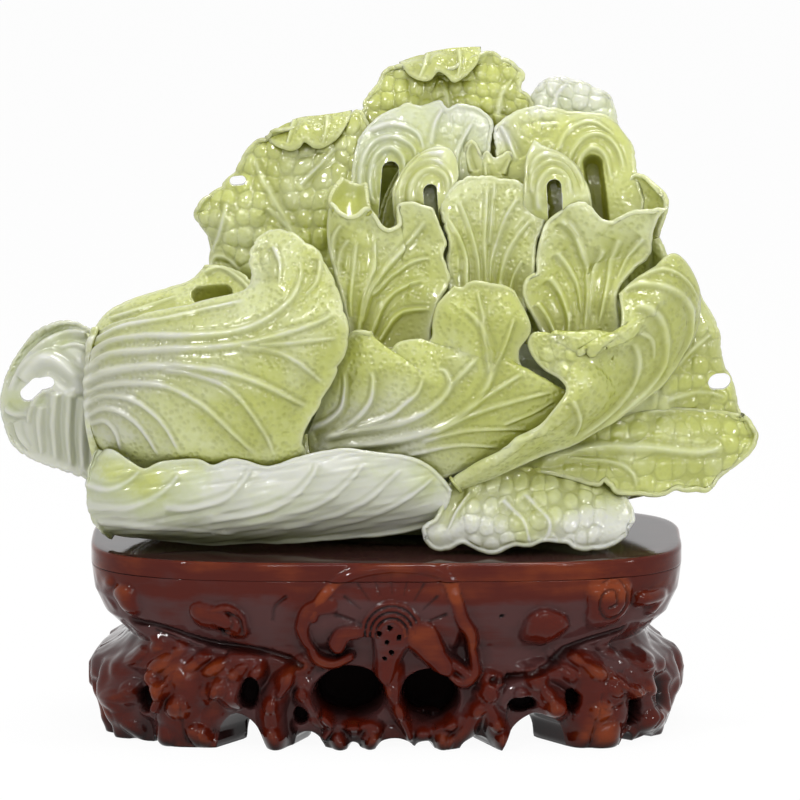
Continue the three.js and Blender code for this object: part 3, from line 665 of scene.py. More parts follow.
@dataclass(frozen=True)
class LeafPlan:
    """One carved leaf: its four sides, and how its rims and faces are carved.

    Sides run from the root to the tip, and root and tip from left to right. Stains, cobbles and lips are discs of
    across, down and radius, then what they add there: tint, or a rim's reach and turn. Holes run from one place to
    another and give their depth and radius, and dents their radius and depth.
    """

    name: str
    slot: str
    left: Array
    right: Array
    root: Array | tuple = ()
    tip: Array | tuple = ()
    node: str = ""
    belly: float = -0.1
    facing: Facing = Facing.FRONT
    paired: bool = False
    tints: tuple[float, float] = (1.2, 0.65)
    root_shade: float = 0.2
    stains: Table = ()
    veins: tuple[Vein, ...] = ()
    side_veins: int = 0
    vein_height: float = 1.2
    cobbles: Table = ()
    cobble_size: float = 14.0
    lip: float = 3.0
    lip_turn: float = 0.9
    lips: Table = ()
    holes: Table = ()
    dents: Table = ()
    ruffle: float = 2.0
    ragged: float = 0.012
    fibres: float = 0.0
    grid: tuple[int, int] = (131, 131)
    seed: int = 1
    rim: float = 3.0
    body: float = 7.0
    pitted: float = 1.0


@dataclass
class LeafCarver:
    """Turns a leaf plan into a closed mesh with curled rims and relief on its faces."""

    view: FrontView
    plan: LeafPlan
    slow_wave: float = 36.0
    slow_reach: float = 50.0
    quick_wave: float = 16.0
    quick_reach: float = 18.0
    midrib: float = 3.6
    side_vein: float = 2.2
    cobble_height: float = 2.0
    cobble_fade: float = 9.0
    lump: float = 0.5
    lump_size: float = 12.0
    thin_rim: float = 34.0
    round_rim: float = 1.6
    hole_reach: float = 60.0

    def surface(self, s: Array, t: Array) -> Array:
        """Points on the leaf's middle surface, spanned between its four sides.

        Args:
            s: shares from the root to the tip.
            t: shares from 0 at the left side to 1 at the right side.

        Returns:
            Points in millimetres.
        """
        plan = self.plan
        if plan.paired:
            rails = even_rail(np.hstack([plan.left, plan.right]), s)
            left, right = rails[..., :3], rails[..., 3:]
        else:
            left, right = even_rail(plan.left, s), even_rail(plan.right, s)
        corners = plan.left[0], plan.right[0], plan.left[-1], plan.right[-1]
        root = even_rail(np.array([corners[0], *plan.root, corners[1]]), t)
        tip = even_rail(np.array([corners[2], *plan.tip, corners[3]]), t)
        s, t = s[..., None], t[..., None]
        flat = ((1 - s) * (1 - t) * corners[0] + (1 - s) * t * corners[1]
                + s * (1 - t) * corners[2] + s * t * corners[3])
        spots = (1 - t) * left + t * right + (1 - s) * root + s * tip - flat
        swell = np.sin(math.pi * t) * np.sin(math.pi * np.clip(0.12 + 0.80 * s, 0, 1))
        spots[..., 2] += (plan.belly * swell)[..., 0]
        return self.view.points(spots) / MM

    def scallops(self, run: Array, phase: Array) -> Array:
        """How far a rim is cut in at places along it, by scallops of three waves with their own starts."""
        wave = 1 - np.abs(np.sin(7 * run + phase[0] + 1.3 * np.sin(5 * run + phase[1])))
        return wave**2 + 0.5 * (1 - np.abs(np.sin(17 * run + phase[2])))**2

    def grid(self) -> tuple[Array, Array]:
        """The leaf's grid with ragged rims.

        Returns:
            Shares along, and points in millimetres.
        """
        plan = self.plan
        s, t = np.meshgrid(*(np.linspace(0, 1, count) for count in plan.grid), indexing="ij")
        phase = np.random.default_rng(plan.seed).uniform(0, 2 * math.pi, 6)
        run = np.linspace(0, 1, 40)
        middle, edge = self.surface(run, 0 * run + 0.5), self.surface(0 * run + 1, run)
        length, width = (np.linalg.norm(np.diff(path, axis=0), axis=-1).sum() for path in (middle, edge))
        along = s * (1 - plan.ragged * min(1.0, width / length) * self.scallops(t * 2, phase[:3]))
        inset = plan.ragged * min(1.0, length / width) * self.scallops(s * 2.3 + (t > 0.5), phase[3:])
        across = 0.5 + (t - 0.5) * (1 - 2 * (inset * smoothstep(0.0, 0.15, s)))
        return s, self.surface(along, across)

    def rim_gaps(self, points: Array) -> tuple[Array, Array, Array]:
        """How far each grid point is from the rims.

        Args:
            points: grid of points in millimetres.

        Returns:
            Millimetres to the tip, the left side and the right side.
        """
        run = np.cumsum(np.linalg.norm(np.diff(points, axis=0, prepend=points[:1]), axis=-1), axis=0)
        width = np.cumsum(np.linalg.norm(np.diff(points, axis=1, prepend=points[:, :1]), axis=-1), axis=1)
        return run[-1:] - run, width, width[:, -1:] - width

    def curl(self, points: Array, s: Array, normal: Array) -> tuple[Array, Array]:
        """Ruffle the leaf's rims and roll them outwards.

        Args:
            points: grid of points in millimetres.
            s: shares from the root to the tip.
            normal: unit normals that point out of the leaf's face.

        Returns:
            The moved points and the millimetres from each point to the rim.
        """
        plan = self.plan
        tip_gap, left_gap, right_gap = self.rim_gaps(points)
        seen = self.view.seen(points * MM)
        reach, turn = np.full(s.shape, plan.lip), np.full(s.shape, plan.lip_turn)
        for across, down, radius, extra, more in plan.lips:
            near = np.exp(-((seen[..., 0] - across) ** 2 + (seen[..., 1] - down) ** 2) / radius**2)
            reach += extra * near
            turn += more * near
        reach = reach * (1 + 0.35 * lattice_noise(points, 24.0, plan.seed))
        turn = turn * (1 + 0.3 * lattice_noise(points, 40.0, plan.seed + 3))
        free = smoothstep(0.02, 0.2, s)
        near_tip = np.clip(1 - tip_gap / reach, 0, 1)
        near_left, near_right = (np.clip(1 - gap / reach, 0, 1) * free for gap in (left_gap, right_gap))
        near = 1 - (1 - near_tip) * (1 - near_left) * (1 - near_right)
        edge_gap = np.minimum(tip_gap, np.minimum(left_gap, right_gap) + 200 * (s < 0.02))

        step_s, step_t = unit(np.gradient(points, axis=0)), unit(np.gradient(points, axis=1))
        way = unit(step_s * near_tip[..., None] + step_t * (near_right - near_left)[..., None] + TINY)
        slow = lattice_noise(points, self.slow_wave, plan.seed + 7) * smoothstep(self.slow_reach, 0.0, edge_gap)
        quick = lattice_noise(points, self.quick_wave, plan.seed + 9) * smoothstep(self.quick_reach, 0.0, edge_gap)
        radius = reach / np.maximum(np.abs(turn), 0.1) * np.sign(turn)
        angle = near * np.abs(turn)
        slide = np.abs(radius) * np.sin(angle) - near * reach
        rise = radius * (1 - np.cos(angle)) + plan.ruffle * (slow + 0.6 * quick)
        return points + way * slide[..., None] + normal * rise[..., None], edge_gap

    def vein_paths(self) -> list[Vein]:
        """The leaf's own veins and its even side veins.

        Returns:
            Width and seen line of every vein.
        """
        paths = [(width, smooth_rail(path, np.linspace(0, 1, 14 * len(path)))) for width, path in self.plan.veins]
        count = self.plan.side_veins
        run = np.linspace(0, 1, 40)
        if count:
            middle = self.surface(run * 0.95, 0.5 + 0.04 * np.sin(4 * run))
            paths.append((self.midrib, self.view.seen(middle * MM)))
        for index, side in ((index, side) for index in range(count) for side in (-1, 1)):
            start = 0.04 + 0.86 * index / count
            s = np.clip(start + 0.03 * side + 0.34 * run**1.4, 0, 0.98)
            paths.append((self.side_vein, self.view.seen(self.surface(s, 0.5 + side * 0.47 * run) * MM)))
        return paths

    def vein_relief(self, seen: Array) -> tuple[Array, Array, Array]:
        """The veins, with a groove on both sides and a step down on one.

        Args:
            seen: where each grid point shows.

        Returns:
            Height in millimetres, painted shade share in the grooves and on the stepped-down side, and vein share at
            each point.
        """
        ridge, groove, step, crease, vein = (np.zeros(seen.shape[:-1]) for _ in range(5))
        for width, path in self.vein_paths():
            gap, part, side = nearest_on_line(seen, path)
            gap = gap * (self.view.step_across / MM)
            size = 0.74 * width * (1 - 0.50 * part)
            ends = smoothstep(0.0, 0.06, part) * smoothstep(1.0, 0.88, part)
            high = self.plan.vein_height * width / 2.6 * (1 - 0.35 * part) * ends
            top = bell(gap, size)
            ridge = np.maximum(ridge, high * top)
            vein = np.maximum(vein, ends * top)
            groove = np.maximum(groove, 0.5 * high * bell(gap - 1.9 * size, size))
            beside = np.exp(-gap / 8.0) * (side > 0) * (1 - top) * ends
            step = np.maximum(step, 0.9 * high * beside)
            # painted shade: darker on each vein's stepped-down side and in its grooves
            crease = np.maximum(crease, 0.75 * beside * (1 - 0.3 * part))
            crease = np.maximum(crease, 0.4 * ends * bell(gap - 1.8 * size, size))
        return ridge - (groove + step) * (1 - vein), crease, vein

    def relief(self, points: Array, s: Array) -> tuple[Array, Array, Array]:
        """The carving over the leaf: veins, pebbles, strands, dents and soft lumps.

        Args:
            points: grid of points in millimetres.
            s: shares from the root to the tip.

        Returns:
            Height in millimetres, painted shade share in creases, grooves, dents and between pebbles, and vein share at
            each point.
        """
        plan = self.plan
        seen = self.view.seen(points * MM)
        height, crease, vein = self.vein_relief(seen)
        x, y = seen[..., 0], seen[..., 1]
        for across, down, radius in plan.cobbles:
            inside = smoothstep(radius, radius - self.cobble_fade, np.hypot(x - across, y - down))
            inside = inside * (1 - np.clip(1.4 * vein, 0, 1))
            bent = lattice_noise(points, 30.0, plan.seed + 5) * 5
            cells = pebbles(x + bent, y * 0.85 - bent, plan.cobble_size, plan.seed)
            height = height + inside * self.cobble_height * cells
            # painted shade in the gaps between pebbles
            crease = np.maximum(crease, inside * 0.40 * (1 - smoothstep(0.0, 0.45, cells)))
        strands = lattice_noise(np.stack([x / 9, y + x / 6, s], axis=-1), 3.6, 60)
        height = height + plan.fibres * strands
        # painted shade in the strands' valleys
        crease = np.maximum(crease, 0.30 * plan.fibres * smoothstep(0.0, -0.8, strands))
        for across, down, end_across, end_down, radius, depth in plan.dents:
            gap, _, _ = nearest_on_line(seen, np.array([[across, down], [end_across, end_down]]))
            height = height - depth * smoothstep(radius, radius - 3.5, gap)
            # painted shade inside the dents
            crease = np.maximum(crease, smoothstep(radius + 3.0, radius - 3.0, gap))
        height = height + self.lump * lattice_noise(points, self.lump_size, plan.seed + 4)
        return height, np.clip(crease, 0, 1), vein

    def build(self) -> Thing:
        """Carve the leaf.

        Returns:
            The closed mesh object.
        """
        plan = self.plan
        s, points = self.grid()
        normal = face_normals(points)
        outward = 1.0 if normal[..., 1].mean() * plan.facing.value > 0 else -1.0
        points, edge_gap = self.curl(points, s, normal * outward)
        normal = face_normals(points) * outward

        height, crease, vein = self.relief(points, s)
        height = height * smoothstep(0.8, 6.5, edge_gap)
        ring = np.clip(edge_gap / self.round_rim, 0, 1)
        rounding = np.sqrt(np.clip(1 - (1 - ring) ** 2, 0, 1))
        half = (plan.rim + (plan.body - plan.rim) * smoothstep(0.0, self.thin_rim, edge_gap)) / 2 * rounding
        half[0] = 0.0
        outer = points + normal * (half + height * rounding)[..., None]
        behind = 0.5 * np.maximum(height, 0) - np.minimum(height, 0)
        inner = points - normal * (half + behind * rounding)[..., None]
        piece, skin = self.stitch(outer * MM, inner * MM, outward)

        seen = self.view.seen(points * MM)
        tint = plan.tints[0] + (plan.tints[1] - plan.tints[0]) * s - 0.35 * vein
        for across, down, radius, amount in plan.stains:
            tint = tint + amount * bell(np.hypot(seen[..., 0] - across, seen[..., 1] - down), radius)
        # painted highlight mask, strongest at the rim
        rim = np.exp(-edge_gap / 3.0)
        # painted shade that deepens toward the leaf's root, less on the veins
        deep = smoothstep(0.55, 0.0, s) * plan.root_shade
        crease = np.clip(crease + deep * (1 - 0.6 * vein), 0, 1)
        pitted = np.clip(1 - 1.3 * vein - rim - 0.5 * crease, 0, 1) * plan.pitted
        paint(piece, tint=skin(tint), crease=skin(crease), rim=skin(rim), pitted=skin(pitted))
        return self.pierce(piece)

    def stitch(self, outer: Array, inner: Array, outward: float) -> tuple[Thing, Callable[[Array], Array]]:
        """Join the leaf's fine outer face and its coarser inner face along the rim.

        Args:
            outer: grid of points of the outer face.
            inner: grid of points of the inner face.
            outward: 1 where the grid's own normal points out, -1 where it points in.

        Returns:
            The closed mesh object, and a function that spreads grid values over its vertices.
        """
        rows, columns = outer.shape[:2]
        count = rows * columns
        index = np.arange(count).reshape(rows, columns)
        kept = np.zeros((rows, columns), dtype=bool)
        kept[2:-1:2, 2:-1:2] = True
        behind = index.copy()
        behind[kept] = count + np.arange(kept.sum())
        corner = index[:-1, :-1].ravel()
        quads = np.stack([corner, corner + columns, corner + columns + 1, corner + 1], axis=1)
        faces = (quads if outward > 0 else quads[:, ::-1]).tolist()
        for i, j in ((i, j) for i in range(0, rows - 1, 2) for j in range(0, columns - 1, 2)):
            loop = [behind[i, j], *([index[i + 1, j]] if j == 0 else []), behind[i + 2, j],
                    *([index[i + 2, j + 1]] if i + 2 == rows - 1 else []), behind[i + 2, j + 2],
                    *([index[i + 1, j + 2]] if j + 2 == columns - 1 else []), behind[i, j + 2],
                    *([index[i, j + 1]] if i == 0 else [])]
            faces.append([int(k) for k in (loop[::-1] if outward > 0 else loop)])
        points = np.vstack([outer.reshape(-1, 3), inner[kept]])
        points[:, 2] = np.maximum(points[:, 2], self.view.floor)
        piece = mesh_object(self.plan.name + "_carved", points, faces)
        return piece, lambda values: np.concatenate([values.ravel(), values[kept]])

    def pierce(self, piece: Thing) -> Thing:
        """Cut the leaf's holes through it.

        Args:
            piece: the leaf's mesh object.

        Returns:
            The same object.
        """
        for across, down, end_across, end_down, back, radius in self.plan.holes:
            ends = self.view.points(np.array([[across, down, back], [end_across, end_down, back]]))
            cut_away(piece, capsule(ends[0], ends[1], radius * self.view.step_across, self.hole_reach * MM))
        piece.data.materials.clear()
        piece.data.shade_smooth()
        return piece


LEAF_PLANS: tuple[LeafPlan, ...] = (
    LeafPlan(
        "front_base_leaf", "white_jade",
        left=line(
            "105,452,-62 118,449,-78 135,459,-86 150,466,-90 168,459,-92 200,457,-93 218,463,-94 240,456,-95 "
            "269,464,-95 300,455,-95 330,448,-95 350,446,-95 378,450,-94 406,453,-93 428,463,-92 452,487,-86"),
        right=line("112,531,-45 140,536,-50 200,540,-55 260,540,-60 330,536,-62 390,530,-65 430,521,-70"),
        root=line("97,470,-66 94,495,-70 99,518,-62"), tip=line("446,506,-82"), tints=(0.02, 0.02), root_shade=0.0,
        stains=((160, 478, 34, 0.75), (200, 462, 16, 0.5), (430, 476, 26, 0.7), (112, 468, 22, 0.6)),
        veins=veins(
            "2.6: 91,483 116,487 133,480 146,468; 2.6: 91,501 133,503 158,495 175,483 184,472; 2.8: 165,502 196,503 "
            "228,495 245,480 253,466; 2.8: 207,512 249,510 291,495 312,476 320,460; 2.8: 228,523 280,512 323,497 "
            "350,478 365,460; 2.8: 280,525 333,510 370,493 402,466; 2.6: 312,526 370,510 412,490 434,474; "
            "2.4: 100,517 180,522 240,528"),
        vein_height=0.55, lip=5.0, lip_turn=1.0, ragged=0.008, fibres=0.6, grid=(301, 111), seed=11, body=9.0,
        pitted=0.0,
    ),
    LeafPlan(
        "front_left_leaf", "green_jade",
        left=line(
            "98,333,-30 120,323,-40 163,313,-50 196,307,-56 234,298,-62 252,287,-64 250,268,-58 253,248,-52 "
            "268,234,-50"),
        right=line("100,464,-60 160,478,-74 220,482,-78 280,480,-80 318,472,-82"),
        root=line("93,352,-42 90,385,-52 92,425,-58"),
        tip=line(
            "289,232,-52 305,243,-60 323,256,-66 334,273,-72 342,292,-78 350,330,-85 346,356,-88 336,378,-90 "
            "322,405,-92 306,432,-92 308,450,-88"),
        belly=-0.13, tints=(0.5, 0.8), root_shade=0.12,
        stains=((110, 400, 42, -0.45), (150, 360, 50, -0.3), (270, 262, 30, -0.35), (250, 440, 40, 0.25)),
        veins=veins(
            "2.4: 88,362 100,343 130,329 175,321 217,311 253,303; 3.0: 91,369 108,348 144,339 196,339 238,335 "
            "270,323 291,306 302,283 304,258; 3.0: 90,378 112,358 154,353 217,350 259,344 291,335 323,323 336,315; "
            "2.2: 259,348 302,344 342,339; 2.4: 240,349 281,354 306,369 325,384; 3.4: 87,388 112,374 158,368 217,371 "
            "259,382 293,398 312,409; 3.0: 91,396 112,386 144,384 175,388 207,405 238,432 266,459; 2.4: 165,371 "
            "196,375 228,386 249,405 266,430 278,456; 2.8: 89,407 108,396 133,398 154,409 171,426 188,456; "
            "2.4: 93,415 112,408 133,415 150,430 167,458; 2.0: 97,422 112,420 123,432 127,450; 1.8: 276,250 283,268 "
            "282,290; 1.8: 322,262 318,285 306,300"),
        cobbles=((262, 260, 17),), cobble_size=12.0, lip_turn=0.8, lips=((262, 262, 20, 5, 0.8),), grid=(231, 201),
        seed=12, body=9.0,
    ),
    LeafPlan(
        "front_center_leaf", "green_jade",
        left=line(
            "306,440,-70 322,400,-72 338,365,-72 349,334,-70 365,333,-71 376,350,-73 386,354,-73 397,344,-72 "
            "414,341,-72 425,344,-73 431,337,-73 431,325,-72 435,309,-72 443,298,-71 453,288,-70"),
        right=line(
            "312,474,-72 360,484,-76 410,484,-78 458,472,-80 496,457,-80 524,443,-80 545,427,-80 560,411,-80 "
            "571,399,-79 556,388,-79 534,379,-79 519,368,-79 517,352,-80 528,330,-78 512,293,-72"),
        root=line("305,455,-71"), tip=line("463,289,-70 473,282,-70 491,285,-71 503,288,-72"), paired=True,
        tints=(0.8, 1.15), root_shade=0.5, stains=((400, 445, 60, -0.8), (340, 440, 40, -0.6), (470, 330, 40, -0.3)),
        veins=veins(
            "3.6: 334,446 376,442 415,434 443,424 468,407 482,390 489,373 488,352 482,333 470,317 451,305; "
            "3.2: 319,438 357,430 396,423 422,413 441,398 453,382 466,369 482,352; 2.4: 436,404 448,388 445,373 "
            "437,370; 2.6: 352,428 386,417 405,403 417,392 423,377; 2.8: 336,433 357,419 371,401 374,382 372,372; "
            "2.6: 311,430 328,422 342,409 346,390 345,370; 2.4: 483,392 491,371 501,348 513,315; 2.4: 488,377 "
            "483,346 480,317 475,292; 2.6: 462,411 491,392 520,373; 2.8: 428,434 472,413 510,401 552,391; "
            "2.0: 418,441 462,430 495,428 530,429; 2.0: 405,455 443,446 468,444 500,447; 1.6: 500,424 530,412 "
            "552,400"),
        lip_turn=0.7, lips=((363, 335, 14, 4, 0.9), (480, 285, 22, 3, 0.6), (510, 380, 14, 3, 0.5)), ragged=0.004,
        grid=(251, 181), seed=13,
    ),
    LeafPlan(
        "front_right_leaf", "green_jade",
        left=line(
            "449,480,-84 475,466,-88 501,452,-92 512,443,-93 528,436,-93 545,420,-93 562,394,-90 556,380,-84 "
            "540,370,-78 528,356,-76 524,342,-75 532,336,-74 549,347,-78 566,355,-80 577,351,-84 584,359,-84 "
            "592,355,-83 601,346,-80 613,337,-76 617,322,-70 614,296,-58"),
        right=line(
            "455,487,-80 490,474,-78 522,462,-73 540,455,-70 560,448,-68 582,438,-64 604,426,-58 614,419,-56 "
            "622,413,-54 630,408,-52 636,404,-50 641,400,-49 647,395,-47 654,389,-44 661,382,-42 667,375,-39 "
            "674,367,-37 680,357,-34 687,345,-31 693,329,-26 696,311,-22"),
        tip=line("630,281,-54 650,268,-46 661,258,-40 672,256,-34 684,269,-28 692,289,-24"), belly=-0.12, paired=True,
        tints=(0.8, 1.0), root_shade=0.15, stains=((640, 400, 60, -0.1), (500, 462, 40, -0.2)),
        veins=veins(
            "2.2: 568,400 574,419 569,436; 2.6: 628,340 633,358 632,376 622,396 600,418 570,440; 3.0: 628,308 "
            "646,313 656,327 660,345 658,365 648,384 628,404 600,424; 3.0: 614,292 632,287 655,289 673,297 684,311 "
            "686,332 680,352 664,376; 2.0: 630,330 645,340 648,360; 2.0: 640,275 662,273 680,284 692,300"),
        cobbles=((551, 366, 26),), cobble_size=13.0, lips=((575, 355, 14, 3, 0.9), (525, 438, 20, 3, 0.6)),
        ragged=0.003, grid=(241, 151), seed=14,
    ),
    LeafPlan(
        "front_right_base_leaf", "pale_jade",
        left=line("448,480,-78 438,502,-84 432,514,-88 421,522,-90 424,534,-88"),
        right=line("612,476,-40 621,496,-52 628,506,-60 632,516,-68 627,527,-72"),
        root=line("500,470,-62 560,472,-50"),
        tip=line(
            "432,547,-86 446,549,-86 461,542,-88 478,550,-88 493,552,-90 511,544,-90 526,545,-90 540,540,-90 "
            "562,543,-88 571,548,-88 583,550,-86 603,547,-82 615,539,-78 619,530,-74"),
        tints=(0.7, 0.15), root_shade=0.5,
        stains=((590, 520, 45, -0.4), (470, 535, 35, -0.3), (445, 495, 25, 0.4), (540, 505, 30, 0.3)),
        veins=veins("2.0: 500,500 520,520 528,543; 2.0: 520,495 545,520 541,540; 2.0: 470,490 455,510 446,530"),
        cobbles=((530, 505, 75),), cobble_size=15.0, lip=5.0, lip_turn=1.4, ruffle=2.4, grid=(121, 201), seed=15,
        pitted=0.3,
    ),
    LeafPlan(
        "inner_center_leaf", "green_jade",
        left=line("456,320,-52 448,296,-48 444,268,-42 446,248,-38 441,228,-32 436,206,-27"),
        right=line("522,320,-52 530,296,-46 534,270,-42 536,245,-36 545,222,-30 548,209,-25"),
        tip=line("449,191,-24 463,180,-20 482,178,-17 501,180,-17 516,183,-20 534,197,-22"), belly=0.1,
        root_shade=0.85,
        veins=veins(
            "2.6: 466,300 464,281 463,260 455,238 443,217; 2.6: 477,300 476,273 472,251 464,224 455,201; "
            "3.0: 483,305 483,276 482,241 484,213 485,186; 2.0: 487,250 490,210 493,184; 2.6: 488,290 489,265 "
            "498,238 507,217 518,198; 2.6: 497,300 499,284 506,257 517,238 532,220; 2.0: 508,300 512,280 522,262"),
        lip_turn=0.7, grid=(131, 121), seed=16,
    ),
    LeafPlan(
        "inner_left_leaf", "green_jade",
        left=line("352,356,-66 345,320,-62 338,290,-58 331,262,-52 327,240,-46 328,218,-42 333,203,-44"),
        right=line(
            "430,352,-66 431,330,-62 438,305,-58 449,284,-52 446,268,-48 443,258,-46 447,247,-43 441,231,-40 "
            "433,211,-38"),
        tip=line(
            "342,214,-52 355,217,-54 366,210,-50 372,214,-47 381,227,-46 391,230,-45 399,225,-42 397,208,-38 "
            "409,204,-37 420,207,-37"),
        belly=0.1, tints=(1.2, 0.7), root_shade=0.85,
        veins=veins(
            "2.6: 350,320 350,305 353,273 356,240; 2.8: 357,340 362,302 371,273 374,238; 3.0: 359,330 370,292 "
            "389,267 412,241 426,222; 2.4: 368,300 389,280 412,265 432,260; 3.0: 368,340 381,308 399,292 426,282; "
            "3.0: 376,346 393,321 409,313 432,311; 2.0: 331,265 335,241 343,226; 2.2: 336,280 341,256 349,242"),
        lip_turn=0.8, lips=((350, 216, 16, 3, 0.6), (385, 228, 12, 3, 0.5)), ragged=0.006, grid=(171, 131), seed=17,
    ),
    LeafPlan(
        "pocket_leaf", "pale_jade", node="inner_left_leaf",
        left=line("333,214,-47 329,204,-45 334,192,-40 343,181,-34"),
        right=line("372,216,-46 370,206,-42 369,196,-38 368,186,-34"), root=line("345,224,-50 356,224,-50"),
        tip=line("350,184,-31 358,187,-30"), belly=0.1, tints=(1.7, 1.0), lip=2.5, ruffle=1.0, grid=(61, 61), seed=40,
        body=4.0, pitted=0.0,
    ),
    LeafPlan(
        "inner_right_leaf", "green_jade",
        left=line(
            "552,362,-66 535,330,-62 520,300,-56 522,284,-52 533,276,-48 533,262,-44 536,247,-42 541,231,-38 "
            "552,220,-36 562,212,-34"),
        right=line(
            "610,362,-66 616,332,-62 614,305,-56 618,289,-50 632,271,-42 646,259,-34 648,245,-33 651,230,-33 "
            "656,218,-35 665,208,-36"),
        tip=line(
            "572,206,-34 582,205,-34 590,211,-36 597,219,-39 606,223,-42 616,219,-42 628,213,-42 640,210,-41 "
            "653,208,-38"),
        belly=0.1, root_shade=0.85,
        veins=veins(
            "2.6: 533,305 544,321 552,340 555,352; 3.0: 545,279 558,298 565,321 563,348; 2.8: 553,254 566,273 "
            "576,293 579,320; 3.2: 556,221 572,238 583,266 585,295 581,340; 2.6: 600,250 592,273 588,295 586,325; "
            "2.6: 616,241 609,260 604,287 595,330; 2.0: 640,240 625,258 612,285; 1.8: 566,224 578,240"),
        lip_turn=0.8, lips=((650, 212, 18, 4, 0.8),), ragged=0.006, grid=(171, 131), seed=18,
    ),
    LeafPlan(
        "lower_right_leaf", "green_jade",
        left=line("500,466,-50 560,440,-45 600,420,-38 640,408,-32 680,408,-28 706,410,-24 722,414,-22 739,416,-20"),
        right=line(
            "505,472,-60 543,474,-62 569,480,-62 593,487,-64 600,482,-62 606,487,-62 613,494,-62 628,496,-60 "
            "655,497,-56 669,491,-52 681,495,-50 698,495,-46 708,488,-42"),
        tip=line("749,420,-20 757,432,-20 756,441,-22 742,455,-26 728,466,-30 716,476,-36"), belly=-0.06,
        tints=(0.95, 0.9), root_shade=0.4,
        veins=veins(
            "4.6: 535,462 586,449 640,448 691,452 722,446; 2.4: 560,458 610,462 628,473 633,488; 2.0: 640,412 "
            "690,410 722,416"),
        cobbles=((650, 450, 110),), cobble_size=17.0, lip=4.0, lip_turn=1.1,
        lips=((752, 436, 26, 9, 1.2), (690, 495, 16, 4, 0.8)), grid=(211, 101), seed=19, pitted=0.3,
    ),
    LeafPlan(
        "flared_lip_leaf", "pale_jade", left=line("602,250,-20 606,222,-14 606,195,-10"),
        right=line("655,240,-30 664,214,-34 668,197,-30"),
        tip=line("612,194,-8 620,187,-6 630,175,-4 644,176,-6 659,185,-16"), belly=0.08, tints=(1.0, 0.9),
        root_shade=0.5, stains=((636, 203, 18, 0.4),), lip=5.0, lip_turn=1.2, lips=((660, 190, 18, 4, 0.8),),
        grid=(71, 81), seed=20,
    ),
    LeafPlan(
        "left_end_leaf", "white_jade", left=line("104,345,-12 88,326,-10 66,320,-8 46,329,-8 28,345,-6"),
        right=line("104,486,-30 75,474,-28 50,465,-24 30,455,-18 14,440,-10"),
        tip=line("16,362,-6 8,382,-5 4,400,-5 8,422,-6"), belly=-0.16, tints=(0.2, 0.3), root_shade=0.1,
        stains=((60, 435, 50, -0.5), (66, 340, 20, 0.6), (20, 404, 12, 0.6), (42, 400, 10, 0.5)),
        veins=veins(
            "7.0: 26,382 34,368 48,361 64,366 86,386; 4.0: 92,334 68,334 44,348 24,370 12,396; 3.4: 56,386 43,396 "
            "35,412 33,424; 3.0: 8,408 20,414 34,414; 5.0: 60,392 58,424 60,462; 5.0: 73,392 72,430 74,468; "
            "5.0: 86,396 84,430 86,472; 4.0: 46,404 44,430 46,456; 3.0: 20,420 24,436 34,450; 2.4: 96,352 78,346 "
            "62,350"),
        lip=5.0, lip_turn=1.0, lips=((60, 322, 30, 5, 0.8),),
        holes=((31, 393, 40, 384, -0.2, 7.5), (40, 384, 51, 381, -0.2, 6.5)), grid=(121, 131), seed=21, pitted=0.1,
    ),
    LeafPlan(
        "heart_left_leaf", "pale_jade",
        left=line("402,290,-2 396,240,-14 393,210,-24 393,193,-20 401,177,-15 417,160,-8"),
        right=line("450,290,-2 446,240,-14 447,205,-24 457,182,-16 453,164,-8"), tip=line("432,152,-4 446,152,-4"),
        belly=-0.12, tints=(1.0, 0.7), root_shade=0.5, stains=((436, 158, 14, -0.5),),
        veins=veins(
            "3.0: 412,222 410,196 418,180 432,174 444,182 446,200; 2.6: 402,220 400,194 410,174 430,165 448,174; "
            "2.4: 396,205 404,180 424,160 444,158"),
        holes=((429, 192, 431, 222, -0.2, 6.5),), grid=(91, 81), seed=22, pitted=0.2,
    ),
    LeafPlan(
        "heart_right_leaf", "pale_jade",
        left=line("526,290,-2 524,240,-14 521,205,-24 522,183,-18 524,160,-10 532,143,-5"),
        right=line("592,290,-2 590,240,-14 588,205,-24 584,189,-18 575,171,-10"), tip=line("541,150,-6 560,159,-6"),
        belly=-0.12, tints=(1.0, 0.7), root_shade=0.5, stains=((538, 150, 14, -0.4),),
        veins=veins(
            "3.0: 538,215 536,194 541,180 552,174 563,182 568,205; 2.6: 530,200 532,178 546,166 562,170 574,190; "
            "2.4: 527,182 536,162 556,160 574,176 582,200"),
        holes=((551, 188, 553, 222, -0.2, 7.0),), grid=(91, 81), seed=23, pitted=0.2,
    ),
    LeafPlan(
        "heart_bud", "pale_jade", left=line("450,215,2 453,186,2 459,168,2 464,148,2"),
        right=line("524,215,2 521,188,2 517,172,2 511,156,2"),
        tip=line("471,141,2 477,151,2 480,159,2 485,153,2 491,160,2 499,157,2 505,153,2"), belly=-0.05,
        tints=(1.0, 0.8), root_shade=0.4,
        veins=veins("2.2: 470,176 466,158 470,144; 2.2: 484,180 484,166; 2.2: 502,178 508,162"), lip_turn=1.2,
        ruffle=1.0, grid=(71, 81), seed=24, pitted=0.1,
    ),
    LeafPlan(
        "left_crest_leaf", "white_jade", left=line("352,240,-20 350,200,-10 353,165,0 359,144,6"),
        right=line("478,240,-10 488,190,0 490,150,6 494,129,10"),
        tip=line(
            "367,130,10 381,118,14 397,110,17 407,105,18 421,107,18 440,103,18 447,111,16 458,106,17 475,110,17 "
            "487,118,15"),
        belly=-0.08, tints=(0.95, 0.6), root_shade=0.4, stains=((388, 124, 26, -0.35), (450, 118, 20, -0.2)),
        veins=veins(
            "3.2: 372,210 370,182 376,160 390,152 403,164 402,195; 2.6: 362,205 361,172 372,148 392,141 412,152 "
